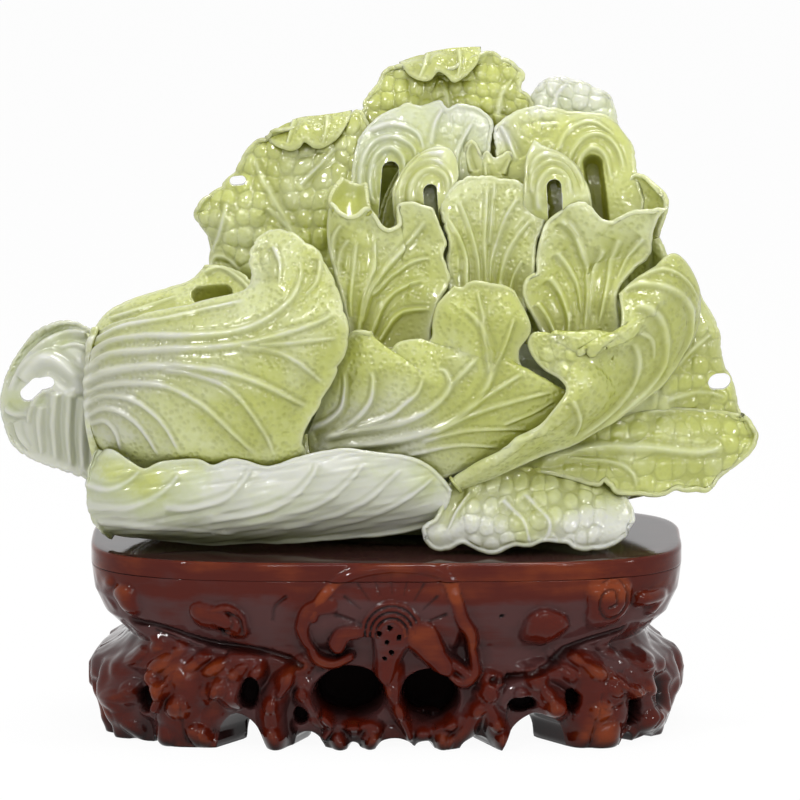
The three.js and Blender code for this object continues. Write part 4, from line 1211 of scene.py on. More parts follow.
            "416,170; 2.4: 368,135 392,128 416,138 424,156; 2.6: 452,190 456,155 472,124; 2.2: 430,150 434,128 "
            "442,112"),
        cobbles=((452, 130, 18),), cobble_size=13.0, lip=4.0, holes=((390, 172, 386, 224, -0.05, 8.0),), seed=25,
        pitted=0.4,
    ),
    LeafPlan(
        "right_crest_leaf", "pale_jade", left=line("512,240,-10 500,190,0 492,150,6 491,132,10"),
        right=line("640,240,-20 642,205,-10 634,180,-2 631,157,5 624,144,10 614,130,13"),
        tip=line("499,124,13 514,114,16 530,108,18 544,109,18 565,113,18 585,115,17 603,118,15"), belly=-0.08,
        tints=(1.2, 0.85), root_shade=0.4, stains=((500, 140, 18, -0.7), (540, 112, 20, -0.5)),
        veins=veins(
            "3.2: 574,214 573,182 579,160 591,152 603,162 609,195; 2.6: 562,195 567,162 580,143 598,139 614,152 "
            "622,180; 2.2: 552,160 566,135 590,126 612,140; 2.6: 516,165 506,142 498,128; 2.2: 538,130 556,128"),
        cobbles=((535, 128, 24),), cobble_size=12.0, lip=4.0, dents=((590, 168, 596, 224, 10.0, 16.0),), seed=26,
        pitted=0.4,
    ),
    LeafPlan(
        "crown_leaf", "green_jade", left=line("366,170,20 360,128,28 362,104,34 373,89,38 379,75,42 391,64,44"),
        right=line("545,170,22 540,125,30 531,101,34 521,92,36 525,79,40 517,70,42 509,62,43"),
        tip=line("399,67,45 420,64,45 442,60,45 462,58,45 476,55,45 489,53,45 498,59,44"), belly=-0.04,
        tints=(1.2, 0.9), root_shade=0.8, veins=veins("3.0: 448,120 446,100 440,84; 2.4: 496,120 500,98 512,80"),
        cobbles=((440, 105, 100),), lip=4.0, lip_turn=1.0, lips=((440, 52, 34, 15, 1.7),), grid=(151, 151), seed=27,
        pitted=0.2,
    ),
    LeafPlan(
        "crown_flap", "green_jade", node="crown_leaf", left=line("399,66,48 400,66,42 404,70,36"),
        right=line("480,52,48 480,57,40 477,63,34"), root=line("420,59,50 445,54,50"),
        tip=line("410,79,28 419,84,22 429,84,20 437,76,20 446,80,20 453,86,20 463,81,22 471,73,28"), belly=-0.08,
        tints=(0.9, 0.9), root_shade=0.0, veins=veins("1.8: 428,58 424,70 419,82; 1.8: 458,54 459,68 456,82"),
        lip=2.0, lip_turn=-0.6, ruffle=0.8, grid=(61, 121), seed=41, body=4.0, pitted=1.2,
    ),
    LeafPlan(
        "top_right_leaf", "white_jade", left=line("524,150,26 525,112,36 529,98,39 538,87,41"),
        right=line("624,155,20 616,128,28 613,114,34 609,101,38"),
        tip=line("548,80,42 561,78,43 573,82,43 581,83,43 592,89,42 603,93,40"), belly=-0.04, tints=(0.7, 0.1),
        veins=veins("2.0: 552,120 556,98 566,86"), cobbles=((575, 112, 50),), grid=(91, 101), seed=28, pitted=0.2,
    ),
    LeafPlan(
        "back_left_leaf", "green_jade",
        left=line(
            "380,150,10 362,113,24 350,117,27 338,121,28 326,126,27 305,127,26 288,131,26 274,138,26 262,139,26"),
        right=line("352,335,-20 310,316,-12 262,305,-4 225,296,2 202,279,8"), root=line("376,200,0 364,270,-12"),
        tip=line(
            "250,147,26 243,157,26 237,169,26 230,178,27 218,190,26 206,199,25 196,206,24 193,215,22 198,222,20 "
            "206,234,18 211,248,15 209,263,12"),
        tints=(0.9, 0.75), root_shade=0.3,
        veins=veins(
            "3.0: 300,245 268,190 256,160; 2.4: 229,205 221,236 213,255; 2.8: 209,268 218,258 230,261 244,275; "
            "2.4: 268,210 288,229 302,246; 3.0: 334,262 333,230 338,205; 2.2: 300,190 320,170 338,150"),
        cobbles=((300, 205, 120),), cobble_size=15.0, lip=4.0, lip_turn=1.0,
        lips=((305, 120, 32, 11, 1.5), (200, 206, 14, 6, 1.0)), holes=((235, 183, 242, 182, 0.2, 4.5),),
        grid=(171, 171), seed=29, pitted=0.3,
    ),
    LeafPlan(
        "back_left_flap", "green_jade", node="back_left_leaf", left=line("266,140,30 268,141,24 271,143,18"),
        right=line("352,115,30 351,120,22 347,128,15"), root=line("288,127,31 305,121,31 327,119,31"),
        tip=line("279,150,12 290,154,8 299,152,6 304,146,7 309,148,7 316,152,8 326,150,10 338,141,12"), belly=-0.08,
        tints=(0.9, 0.9), root_shade=0.0, veins=veins("1.8: 296,124 292,136 288,148; 1.8: 328,120 326,134 322,148"),
        lip=2.0, lip_turn=-0.6, ruffle=0.8, grid=(61, 121), seed=42, body=4.0, pitted=1.2,
    ),
    LeafPlan(
        "back_right_leaf", "green_jade", left=line("625,345,-25 655,300,-12 676,266,-4 689,281,0"),
        right=line("610,456,-34 660,456,-28 700,452,-22 741,420,-14"), root=line("612,400,-32"),
        tip=line("698,302,0 708,318,-2 715,335,-4 717,352,-5 720,366,-6 728,379,-6 733,394,-8 737,408,-10"),
        belly=-0.06, tints=(0.8, 0.8), veins=veins("2.4: 672,366 689,349 708,334; 2.4: 660,400 695,392 724,398"),
        cobbles=((700, 385, 60),), cobble_size=15.0, lip=4.0, holes=((713, 380, 719, 380, -0.06, 8.0),), seed=30,
        pitted=0.3,
    ),
    LeafPlan(
        "shoulder_leaf", "pale_jade",
        left=line("92,338,-16 103,321,-12 115,311,-10 140,301,-8 165,293,-6 190,284,-4 206,266,0"),
        right=line("97,356,-28 150,342,-36 200,333,-42 266,318,-46"), tip=line("234,270,-6 258,288,-26"), belly=-0.06,
        tints=(0.6, 0.8), root_shade=0.1,
        veins=veins("2.6: 204,276 222,268 244,284 256,300; 2.0: 110,322 150,310 180,300"), lip=4.0, lip_turn=1.2,
        dents=((203, 299, 226, 296, 9.0, 12.0),), grid=(121, 81), seed=31,
    ),
    LeafPlan(
        "rear_center_leaf", "green_jade", left=line("306,512,68 306,379,60 321,238,54 359,117,58"),
        right=line("545,512,66 568,390,58 580,257,52 560,140,52"), root=line("419,510,78"),
        tip=line("400,100,64 450,88,66 510,104,60"), belly=0.24, facing=Facing.REAR, tints=(0.15, 0.9), side_veins=9,
        cobbles=((460, 180, 110),), lip=8.0, lip_turn=1.4, ruffle=3.0, grid=(231, 151), seed=32, pitted=0.5,
    ),
    LeafPlan(
        "rear_left_leaf", "pale_jade", left=line("118,356,24 186,308,38 246,255,36 284,218,32"),
        right=line("110,499,30 193,514,56 261,514,64 295,473,66"), root=line("98,429,42"),
        tip=line("304,290,60 312,380,70"), belly=0.2, facing=Facing.REAR, tints=(0.1, 0.75), side_veins=8, lip=8.0,
        lip_turn=1.4, ruffle=3.0, grid=(171, 151), seed=33,
    ),
    LeafPlan(
        "rear_right_leaf", "green_jade", left=line("535,512,62 555,416,66 566,322,60 572,228,50"),
        right=line("652,495,48 701,431,40 694,336,36 656,249,34"), root=line("600,506,62"),
        tip=line("596,205,44 635,222,38"), belly=0.16, facing=Facing.REAR, tints=(0.5, 0.9), side_veins=8, lip=8.0,
        lip_turn=1.4, ruffle=3.0, grid=(171, 121), seed=34,
    ),
)


@dataclass
class CabbageStone:
    """The stone: its heart, and the leaves carved round it.

    Sections of the heart give a place along it, its two sides, its front and its rear, as shares of the block's
    length, height or half depth.
    """

    view: FrontView
    finishes: dict[str, bpy.types.Material]
    body: str = "carving"
    length: float = 489 * MM
    height: float = 314 * MM
    floor: float = 122 * MM
    core_power: float = 2.6
    core_grid: tuple[int, int] = (110, 220)
    fold: float = 0.05
    stalk: Table = (
        (0.135, 0.080, 0.300, -0.20, 0.20), (0.220, 0.000, 0.400, -0.48, 0.50), (0.380, 0.000, 0.440, -0.52, 0.62),
        (0.550, 0.000, 0.440, -0.56, 0.66), (0.700, 0.000, 0.420, -0.52, 0.58), (0.790, 0.030, 0.360, -0.34, 0.44),
        (0.850, 0.110, 0.330, -0.12, 0.26),
    )
    bud: Table = (
        (0.360, 0.455, 0.790, -0.34, 0.58), (0.520, 0.480, 0.790, -0.14, 0.56), (0.680, 0.500, 0.780, 0.06, 0.52),
        (0.790, 0.540, 0.740, 0.20, 0.46), (0.860, 0.580, 0.700, 0.28, 0.42),
    )

    def core(self, name: str, table: Table, upright: bool, tint: float) -> Thing:
        """One solid heart of stone, lofted through its sections, with soft folds.

        Args:
            name: name of the node that it stands for.
            table: its sections.
            upright: True where the sections lie level and follow the height.
            tint: white to green share.

        Returns:
            The mesh object.
        """
        rows, columns = self.core_grid
        sections = smooth_rail(np.array(table), np.linspace(0, 1, rows))
        angle = np.linspace(0, 2 * math.pi, columns, endpoint=False)
        place, low, high, front, rear = (sections[:, k:k + 1] for k in range(5))
        groove = (1 - np.abs(np.sin(6.5 * angle + 5.0 * place))) ** 3
        u, v = (side * (1 - self.fold * groove) for side in rounded(angle, self.core_power))
        if not upright:
            u, v = v, u
        wide = (low + high) / 2 + (high - low) / 2 * u
        deep = (front + rear) / 2 + (rear - front) / 2 * v
        across, up = (wide, place + 0 * wide) if upright else (place + 0 * wide, wide)
        x = (across - 0.5) * self.length + self.view.shift[0]
        y = deep * (2 * self.view.half_depth) / 2 + self.view.shift[1]
        rings = np.stack([x, y, self.floor + up * self.height], axis=-1)
        piece = ring_mesh(name + "_carved", rings)
        # crease paints shade into the heart's grooves
        paint(piece, tint=tint + 0.1 * lattice_noise(rings / MM, 26.0, 5), crease=0.15 + 0.5 * groove,
              rim=0 * groove, pitted=0 * groove + 0.8)
        return piece

    def build(self) -> None:
        """Carve the heart and every leaf."""
        pieces = [(self.core("stalk_core", self.stalk, False, 0.5), "stalk_core", "white_jade"),
                  (self.core("inner_bud", self.bud, True, 1.4), "inner_bud", "pale_jade")]
        pieces += [(LeafCarver(self.view, plan).build(), plan.node or plan.name, plan.slot) for plan in LEAF_PLANS]
        for piece, node, slot in pieces:
            settle(piece, self.finishes[slot], slot, self.body, node)


# The stand


ROOT_NODES = (
    "stand_body", "left_front_root", "left_end_root", "slender_front_root", "short_front_root", "forked_root",
    "pointed_root", "hanging_root", "right_front_root", "right_end_root", "rear_left_root", "rear_center_root",
    "rear_right_root", "lingzhi_arch", "lingzhi_crown", "lingzhi_fan", "lingzhi_left_scroll",
    "lingzhi_right_scroll", "lingzhi_stem", "left_knot", "swirl_knot", "right_knot", "spiral_knot", "left_spur",
    "right_spur",
)


@dataclass(frozen=True)
class Stroke:
    """A carved line on the stand's front: its places, and half widths and heights at its two ends."""

    path: Array
    half_width: tuple[float, float]
    height: tuple[float, float]
    warm: float = 0.0


def strokes(text: str) -> tuple[Stroke, ...]:
    """Read strokes written one to a row.

    Args:
        text: rows of places, two half widths, two heights and a warmth, with bars between them.

    Returns:
        The strokes.
    """
    rows = [row.split("|") for row in text.strip().splitlines()]
    return tuple(Stroke(line(path), *(tuple(map(float, pair.split())) for pair in pairs), float(warm))
                 for path, *pairs, warm in rows)


ROOT_STROKES = strokes("""
    128,652 158,662 180,684 184,712 180,744 | 15 27 | 8 15 | 0.7
    122,640 110,664 112,690 104,716 118,736 | 12 17 | 7 9 | 0.4
    160,650 200,656 238,660 252,674 | 8 10 | 6 8 | 0.2
    208,666 226,682 231,692 | 15 13 | 10 17 | 0.5
    205,690 214,706 196,726 200,744 | 10 16 | 8 13 | 0.8
    296,664 280,684 270,712 271,744 | 11 11 | 9 14 | 0.5
    292,670 306,694 318,712 340,722 | 10 9 | 9 10 | 0.3
    316,716 332,724 336,744 | 9 13 | 10 12 | 0.5
    340,722 360,722 376,728 370,744 | 7 9 | 10 12 | 0.5
    300,724 340,730 400,734 440,730 | 9 9 | 7 8 | 0.1
    390,662 394,690 402,712 411,734 | 12 4 | 10 15 | 0.3
    492,680 488,694 476,712 456,744 | 11 10 | 10 13 | 0.4
    484,696 494,716 512,745 | 9 9 | 11 13 | 0.4
    440,726 456,722 476,716 | 8 9 | 9 10 | 0.2
    440,728 446,745 | 9 9 | 9 12 | 0.4
    504,696 524,684 548,672 574,676 | 10 12 | 8 8 | 0.2
    536,680 548,696 554,706 | 15 14 | 10 18 | 0.4
    578,664 604,668 632,662 | 9 10 | 8 9 | 0.2
    600,668 600,700 604,745 | 19 26 | 13 19 | 0.8
    636,676 654,694 662,716 658,734 | 15 24 | 8 12 | 0.4
    572,652 600,648 632,636 | 8 9 | 4 6 | 0
    620,678 632,692 640,690 | 8 8 | 9 11 | 0.7
    150,676 164,690 160,706 | 8 6 | 16 17 | 0.7
    134,662 114,669 98,677 | 9 3 | 6 10 | 0.4
    130,698 114,702 99,706 | 8 3 | 7 11 | 0.5
    172,666 168,678 163,690 | 8 4 | 10 17 | 0.6
    214,668 217,680 216,690 | 9 5 | 10 17 | 0.5
    290,668 286,678 280,688 | 9 6 | 10 17 | 0.5
    480,690 491,684 502,676 | 6 5 | 10 14 | 0.4
    632,684 652,670 669,656 | 9 3 | 6 12 | 0.5
    648,700 664,706 677,712 | 9 4 | 7 11 | 0.5
    610,664 618,680 628,692 | 7 5 | 10 15 | 0.6
    322,712 330,722 322,734 | 6 4 | 13 16 | 0.5
""")

FUNGUS_STROKES = (
    *strokes("""
    312,612 322,594 338,577 361,567 394,562 431,565 448,576 455,594 464,615 477,632 \
        483,648 479,665 467,677 454,674 | 5 7 | 7 9 | 0.7
"""),
    *(Stroke(arc((392, 630), radius, 1.05, [0, 30, 60, 90, 120, 150, 180]), (2.1, 2.1), (high, high), 0.5)
      for radius, high in ((31, 7), (25.5, 9), (20, 10), (14.5, 10))),
    *strokes("""
    332,600 309,606 298,630 306,651 328,659 346,652 | 7 6 | 7 10 | 0.5
    355,626 341,629 332,640 | 7 9 | 11 13 | 0.7
    423,632 436,646 448,660 | 16 13 | 10 14 | 0.7
    459,660 469,668 | 8 8 | 9 9 | 0.6
    392,636 388,652 385,672 | 20 11 | 9 11 | 0.15
    212,607 230,604 241,614 238,628 224,631 214,622 222,614 230,620 | 4 3 | 6 6 | 0.6
    127,598 129,607 | 11 10 | 5 6 | 0.8
    202,612 218,616 230,622 | 13 12 | 6 7 | 0.7
    544,622 558,626 | 17 16 | 9 9 | 0.5
    606,589 608,607 | 21 20 | 6 7 | 0.5
    110,586 92,600 104,612 | 7 7 | 6 6 | 0.4
    640,600 662,602 656,612 | 8 7 | 7 7 | 0.4
"""),
)

GROOVES = (
    *(Stroke(np.vstack([arc((392, 628), 40, 1.0, [turn]), arc((391, 627), 58, 1.0, [turn])]), (1.6, 2.4), (1.8, 3.0))
      for turn in (18, 38, 56, 73, 90, 107, 124, 142, 162)),
    *strokes("""
    287,593 276,602 271,616 | 2.5 2 | 2.4 1.6 | 0
    236,606 240,620 230,632 214,630 | 2 2 | 2.2 2.2 | 0
    228,608 231,618 222,626 210,622 | 1.8 1.8 | 2 2 | 0
    599,580 611,576 622,590 620,610 608,616 597,604 599,590 609,588 612,600 606,604 | 1.8 1.8 | 2.6 2.4 | 0
    124,624 150,627 186,640 222,646 262,652 296,662 | 4 4 | 3.5 4 | 0
    636,630 606,640 578,652 556,664 516,674 494,676 | 4 4 | 4 4 | 0
    140,632 176,646 210,652 | 2 2 | 2 1.5 | 0
    186,700 182,722 184,740 | 1.8 2 | 2 1.6 | 0
    598,690 594,716 596,738 | 1.6 1.8 | 1.6 1.6 | 0
    590,700 604,706 618,702 | 1.6 1.6 | 1.4 1.4 | 0
    650,700 656,716 654,730 | 2 2 | 2.2 2 | 0
    668,700 672,716 668,730 | 2 2 | 2.2 2 | 0
"""),
)

# Knobs of the roots: across, down, radius and height

KNOBS: Table = (
    (105, 673, 9, 5), (121, 659, 9, 5), (150, 664, 10, 5), (164, 688, 9, 7), (186, 657, 10, 5), (207, 663, 9, 4),
    (217, 684, 10, 7), (131, 690, 8, 5), (119, 704, 11, 6), (146, 712, 8, 5), (181, 704, 11, 6), (103, 722, 10, 6),
    (128, 732, 9, 4), (160, 734, 10, 5), (196, 732, 11, 6), (233, 668, 8, 5), (254, 668, 8, 4), (270, 736, 12, 7),
    (283, 675, 10, 7), (270, 700, 8, 5), (300, 690, 7, 4), (328, 712, 10, 6), (352, 724, 8, 5), (337, 737, 9, 6),
    (370, 736, 9, 6), (386, 686, 7, 5), (400, 706, 8, 6), (424, 732, 8, 4), (447, 737, 9, 6), (452, 720, 7, 4),
    (478, 704, 8, 5), (490, 687, 9, 7), (508, 738, 10, 6), (500, 720, 7, 4), (522, 690, 8, 5), (540, 674, 11, 6),
    (556, 703, 10, 8), (548, 690, 8, 5), (575, 670, 9, 4), (600, 668, 9, 5), (614, 685, 10, 6), (630, 692, 8, 6),
    (598, 706, 10, 5), (610, 734, 14, 7), (584, 738, 9, 4), (650, 664, 9, 5), (664, 658, 7, 5), (652, 690, 9, 5),
    (672, 703, 10, 6), (650, 724, 11, 5), (668, 730, 8, 5), (636, 738, 8, 4), (136, 645, 8, 3), (628, 650, 9, 4),
    (160, 648, 8, 3), (590, 655, 8, 3),
)

# Hollows between the roots and dots of the fungus: across, down, half width, half height and depth

CAVITIES: Table = (
    (349, 692, 36, 27, 46), (430, 695, 29, 27, 46), (248, 690, 9, 16, 14), (300, 712, 7, 8, 10),
    (146, 700, 7, 13, 8), (572, 698, 7, 10, 12), (522, 700, 14, 8, 12), (634, 712, 6, 14, 10),
    (379, 627, 2.6, 2.6, 2), (390, 622, 2.4, 2.4, 2), (400, 631, 2.4, 2.4, 2), (387, 636, 2.2, 2.2, 2),
    (392, 646, 2.2, 2.2, 2), (385, 652, 2.0, 2.0, 2), (503, 612, 3.0, 2.0, 2), (216, 626, 3.2, 2.6, 2.5),
)

# Arches under the front roots: across, half width and height

ARCHES: Table = (
    (235, 25, 21), (305, 16, 11), (352, 7, 4), (395, 20, 6), (427, 10, 5), (480, 16, 7), (541, 33, 22),
    (633, 7, 7), (148, 6, 5),
)


@dataclass
class RootStand:
    """The carved stand: a flat board over a waisted block of gnarled roots with a fungus on its front.

    The profile gives heights over the ground, and there how far the ends and the front stand back.
    """

    view: FrontView
    finish: bpy.types.Material
    slot: str = "lacquered_wood"
    body: str = "stand"
    middle: tuple[float, float] = (3.0, 0.0)
    half_length: float = 191.0
    half_depth: float = 100.0
    height: float = 122.0
    board: float = 12.0
    power: float = 3.6
    cap: tuple[float, float, float, float] = (384, 634, 84, 76)
    cap_height: float = 4.5
    root_wave: float = 15.0
    root_drift: float = 41.0
    root_depth: float = 11.0
    hollow_depth: float = 16.0
    rear_arch: float = 17.0
    under_rise: float = 18.5
    under_inset: float = 34.0
    under_rows: int = 14
    profile: Table = (
        (0.0, 13.0, 17.0), (10.0, 9.0, 16.0), (22.0, 5.0, 14.0), (34.0, 3.7, 12.0), (49.0, 9.0, 11.0),
        (58.0, 20.0, 11.5), (65.0, 25.0, 12.0), (72.0, 18.0, 9.0), (80.0, 9.0, 5.5), (94.0, 2.6, 2.2),
        (110.0, 0.5, 0.5),
    )

    def centre(self) -> Array:
        """Middle of the stand in millimetres."""
        return np.array([self.middle[k] + self.view.shift[k] / MM for k in range(2)])

    def seen(self, u: Array, z: Array) -> Array:
        """Across and down of places on the stand's front, given as shares of its half length and heights."""
        across = (self.centre()[0] + u * self.half_length - VIEW_LEFT) / STEP_ACROSS
        return np.stack(np.broadcast_arrays(across, (STAND_TOP - z) / STEP_DOWN), axis=-1)

    def angles(self, front: int, rest: int) -> Array:
        """Angles round the stand at even distances, finer along the front.

        Args:
            front: points along the front.
            rest: points round the ends and the rear.

        Returns:
            The angles, in order round the stand.
        """
        fine = np.linspace(-math.pi, math.pi, 20001)
        u, v = rounded(fine, self.power)
        x, y = u * self.half_length, v * self.half_depth
        weight = np.where((y < 0) & (np.abs(x) < 0.97 * self.half_length), front, rest * 0.55)
        run = np.concatenate([[0.0], np.cumsum(np.hypot(np.diff(x), np.diff(y)) * weight[1:])])
        return np.interp(np.linspace(0, run[-1], front + rest, endpoint=False), run, fine)

    def carve(self, spots: Array, lines: tuple[Stroke, ...], power: float, spread: float = 1.0) -> tuple[Array, Array]:
        """Height and warmth of round carved lines at seen spots.

        Args:
            spots: array of spots as across and down.
            lines: the lines.
            power: how the lines' cross-section falls off.
            spread: how much wider than written they are.

        Returns:
            Height in millimetres and warmth at each spot.
        """
        height, warm = np.zeros(len(spots)), np.zeros(len(spots))
        for stroke in lines:
            path = smooth_rail(stroke.path, np.linspace(0, 1, 8 * len(stroke.path)))
            gap, part, _ = nearest_on_line(spots, path)
            width, high = (ends[0] + (ends[1] - ends[0]) * part for ends in (stroke.half_width, stroke.height))
            form = np.clip(1 - (gap / (spread * width)) ** 2, 0, 1) ** power
            warm = np.where(high * form > height, stroke.warm * form, warm)
            height = np.maximum(height, high * form)
        return height, warm

    def front_relief(self, spots: Array) -> tuple[Array, Array, Array]:
        """The carving on the front.

        Args:
            spots: array of spots as across and down.

        Returns:
            Height in millimetres, warmth and painted shade share at each spot, in the spots' layout.
        """
        layout, spots = spots.shape[:-1], spots.reshape(-1, 2)
        roots, warm = self.carve(spots, ROOT_STROKES, 1.15, 1.45)
        roots, warm = 0.85 * roots, 0.9 * warm
        fungus, fungus_warm = self.carve(spots, FUNGUS_STROKES, 0.6, 1.1)
        x, y = spots.T
        cap = np.hypot((x - self.cap[0]) / self.cap[2], (y - self.cap[1]) / self.cap[3])
        plate = self.cap_height * smoothstep(1.02, 0.9, cap) * smoothstep(664, 640, y)
        for across, down, radius, high in KNOBS:
            knob = np.clip(1 - (np.hypot(x - across, y - down) / (1.15 * radius)) ** 2, 0, 1) ** 0.8
            roots, warm = roots + 0.9 * high * knob, warm + 0.3 * knob
        grooves, _ = self.carve(spots, GROOVES, 0.8)
        height = np.maximum(roots, 1.2 * fungus + plate) - grooves
        # painted shade in the grooves
        crease = np.clip(grooves / 3, 0, 1) * 0.55
        for across, down, wide, tall, deep in CAVITIES:
            dent = smoothstep(1.12, 0.70, np.hypot((x - across) / wide, (y - down) / tall))
            if deep > 20:
                dent = dent * (1 - smoothstep(10.0, 14.0, height))
            height = height * (1 - dent) - deep * dent
            # painted shade inside the hollows and the fungus' dots
            crease = np.maximum(crease, dent)
        return tuple(values.reshape(layout) for values in (height, np.maximum(warm, fungus_warm), crease))

    def build(self) -> None:
        """Carve the board and the block of roots."""
        settle(self.top_board(), self.finish, self.slot, self.body, "stand_top")
        settle(self.root_block(), self.finish, self.slot, self.body, *ROOT_NODES)

    def top_board(self) -> Thing:
        """The flat board with a rounded rim.

        Returns:
            The mesh object.
        """
        u, v = rounded(self.angles(200, 200), self.power)
        low, top = self.height - self.board, self.height
        levels = [(low, 30.0), (low, 1.0), (low + 0.4, 0.5)]
        levels += [(low + 0.4 + step, 0.4) for step in np.linspace(0.4, self.board - 3.6, 12)]
        levels += [(top - 1.2, 0.6), (top - 0.3, 1.6), (top, 3.2), (top, 8.0), (top, 50.0), (top, 85.0)]
        centre = self.centre()
        rings, warm = [], []
        for z, inset in levels:
            x = centre[0] + u * (self.half_length - inset)
            y = centre[1] + v * (self.half_depth - inset)
            wave = 0.5 * lattice_noise(np.stack([x, y, 0 * x], axis=-1), 40.0, 3) * (inset < 3)
            high, _, _ = self.front_relief(self.seen(u, z))
            high = 0.33 * np.clip(high, 0, 14) * smoothstep(-0.85, -0.98, v) * (0.5 if z > top - 1 else 1.0)
            y = y - high * (inset < 1)
            rings.append(np.stack([x + wave * u, y + wave * v, 0 * x + z], axis=-1))
            warm.append(0 * x + (0.65 if inset < 3 else -0.1))
        piece = ring_mesh("stand_board", np.array(rings) * MM)
        # painted shade on the board's flat top and underside; the rim is painted warm
        paint(piece, warm=np.array(warm), crease=np.where(np.array(warm) < 0, 0.45, 0.0))
        return piece

    def feet(self, across: Array, run: Array, front: Array) -> Array:
        """Height of the block's lower edge.

        Args:
            across: where the front view shows each place round the stand.
            run: distance round the stand.
            front: 1 on the front and 0 elsewhere.

        Returns:
            Height in millimetres at each place.
        """
        foot = np.zeros_like(across)
        for middle, half, high in ARCHES:
            foot = np.maximum(foot, high * np.clip(1 - ((across - middle) / half) ** 2, 0, 1) ** 0.6)
        wave = 0.5 + 0.5 * np.sin(run / self.root_wave + 1.5 * np.sin(run / self.root_drift))
        return foot * front + self.rear_arch * smoothstep(0.55, 0.95, wave) * (1 - front)

    def gnarls(self, place: Array, run: Array) -> tuple[Array, Array, Array]:
        """Roots and hollows round the ends and the rear.

        Args:
            place: points of the block in millimetres.
            run: distance of each column round the stand.

        Returns:
            Height in millimetres, warmth and hollow share, painted as shade, at each point.
        """
        z = place[..., 2]
        bend = 14 * lattice_noise(place, 34.0, 41)
        phase = (run + bend) / self.root_wave + 1.5 * np.sin(run / self.root_drift)
        ridge = 1 - np.abs(np.sin(phase + math.pi / 2))
        low = smoothstep(62.0, 20.0, z)
        gnarl = low * (self.root_depth * (1 - ridge) ** 0.8 - 5.0)
        gnarl = gnarl + 5.0 * lattice_noise(place, 24.0, 42) * smoothstep(80, 50, z)
        hollow = smoothstep(0.35, 0.8, lattice_noise(place, 30.0, 43)) * low
        return gnarl - self.hollow_depth * hollow, low * (1 - ridge) * 0.6, hollow

    def push(self, relief: Array, place: Array, way: Array, front: Array) -> Array:
        """How far the block's skin stands out, kept within the stand's size.

        Args:
            relief: carved height in millimetres at each point.
            place: points of the block in millimetres.
            way: unit direction out of the block at each column.
            front: 1 on the front and 0 elsewhere.

        Returns:
            Millimetres outwards at each point.
        """
        x, y, z = np.moveaxis(place, -1, 0)
        lump = 3.4 * lattice_noise(place, 20.0, 44) + 1.8 * lattice_noise(place, 9.0, 46)
        out = relief + (lump * smoothstep(66.0, 44.0, z) + 0.3 * lattice_noise(place, 6.0, 45))
        seam = self.height - self.board
        out = out * np.maximum(smoothstep(seam, seam - 9.0, z), 0.33 * front)
        limit = self.half_depth + 4.5 - np.abs(y) + 60 * (1 - np.abs(way[:, 1]))
        soft = 6
        out = np.where(out > limit - soft, limit - soft * np.exp(-np.maximum(out - limit + soft, 0) / soft), out)
        return np.minimum(out, np.where(np.abs(way[:, 0]) > 0.7, self.half_length + 3.0 - np.abs(x), 99.0))

    def root_block(self) -> Thing:
        """The waisted block of roots.

        Returns:
            The mesh object.
        """
        u, v = rounded(self.angles(330, 270), self.power)
        half = np.array([self.half_length, self.half_depth])
        run = np.concatenate([[0.0], np.cumsum(np.hypot(np.diff(u * half[0]), np.diff(v * half[1])))])
        front = smoothstep(-0.55, -0.80, v)
        top = self.height - self.board
        foot = self.feet(self.seen(u, 0.0)[:, 0], run, front)
        z = top - np.linspace(0, 1, 104)[:, None] * (top - foot)
        heights, ends, fronts = np.array(self.profile).T
        x = u * (half[0] - np.interp(z, heights, ends))
        y = v * (half[1] - np.interp(z, heights, fronts))
        place = np.stack([x, y, z], axis=-1)
        sides = np.stack([u, v], axis=-1)
        way = unit(np.sign(sides) * np.abs(sides) ** (self.power - 1) / half)

        relief, warm, crease = self.front_relief(self.seen(u, z))
        gnarl, side_warm, hollow = self.gnarls(place, run)
        out = self.push(relief * front + gnarl * (1 - front), place, way, front)
        place[..., :2] += way * out[..., None]

        step = np.arange(1, self.under_rows + 1)[:, None] / self.under_rows
        inset = self.under_inset * smoothstep(0.0, 0.55, step)
        rise = foot + (self.under_rise - foot) * smoothstep(0.45, 1.0, step)
        edge = place[-1]
        under = [edge[:, 0] * (1 - inset / half[0]), edge[:, 1] * (1 - inset / half[1]), rise]
        points = np.vstack([place, np.stack(under, axis=-1)])
        points[..., :2] += self.centre()
        piece = ring_mesh("root_block", points[::-1] * MM)

        band = smoothstep(92.0, 104.0, z) * 0.55
        tone = np.clip(warm * front + side_warm * (1 - front) + band, 0, 1.3)
        # painted shade in the front's grooves and cavities, in the hollows elsewhere, and under the block
        dark = np.clip(crease * front + hollow * (1 - front), 0, 1)
        pad = 0 * rise
        paint(piece, warm=np.vstack([tone, pad])[::-1], crease=np.vstack([dark, pad + 0.6])[::-1])
        return piece


# The room


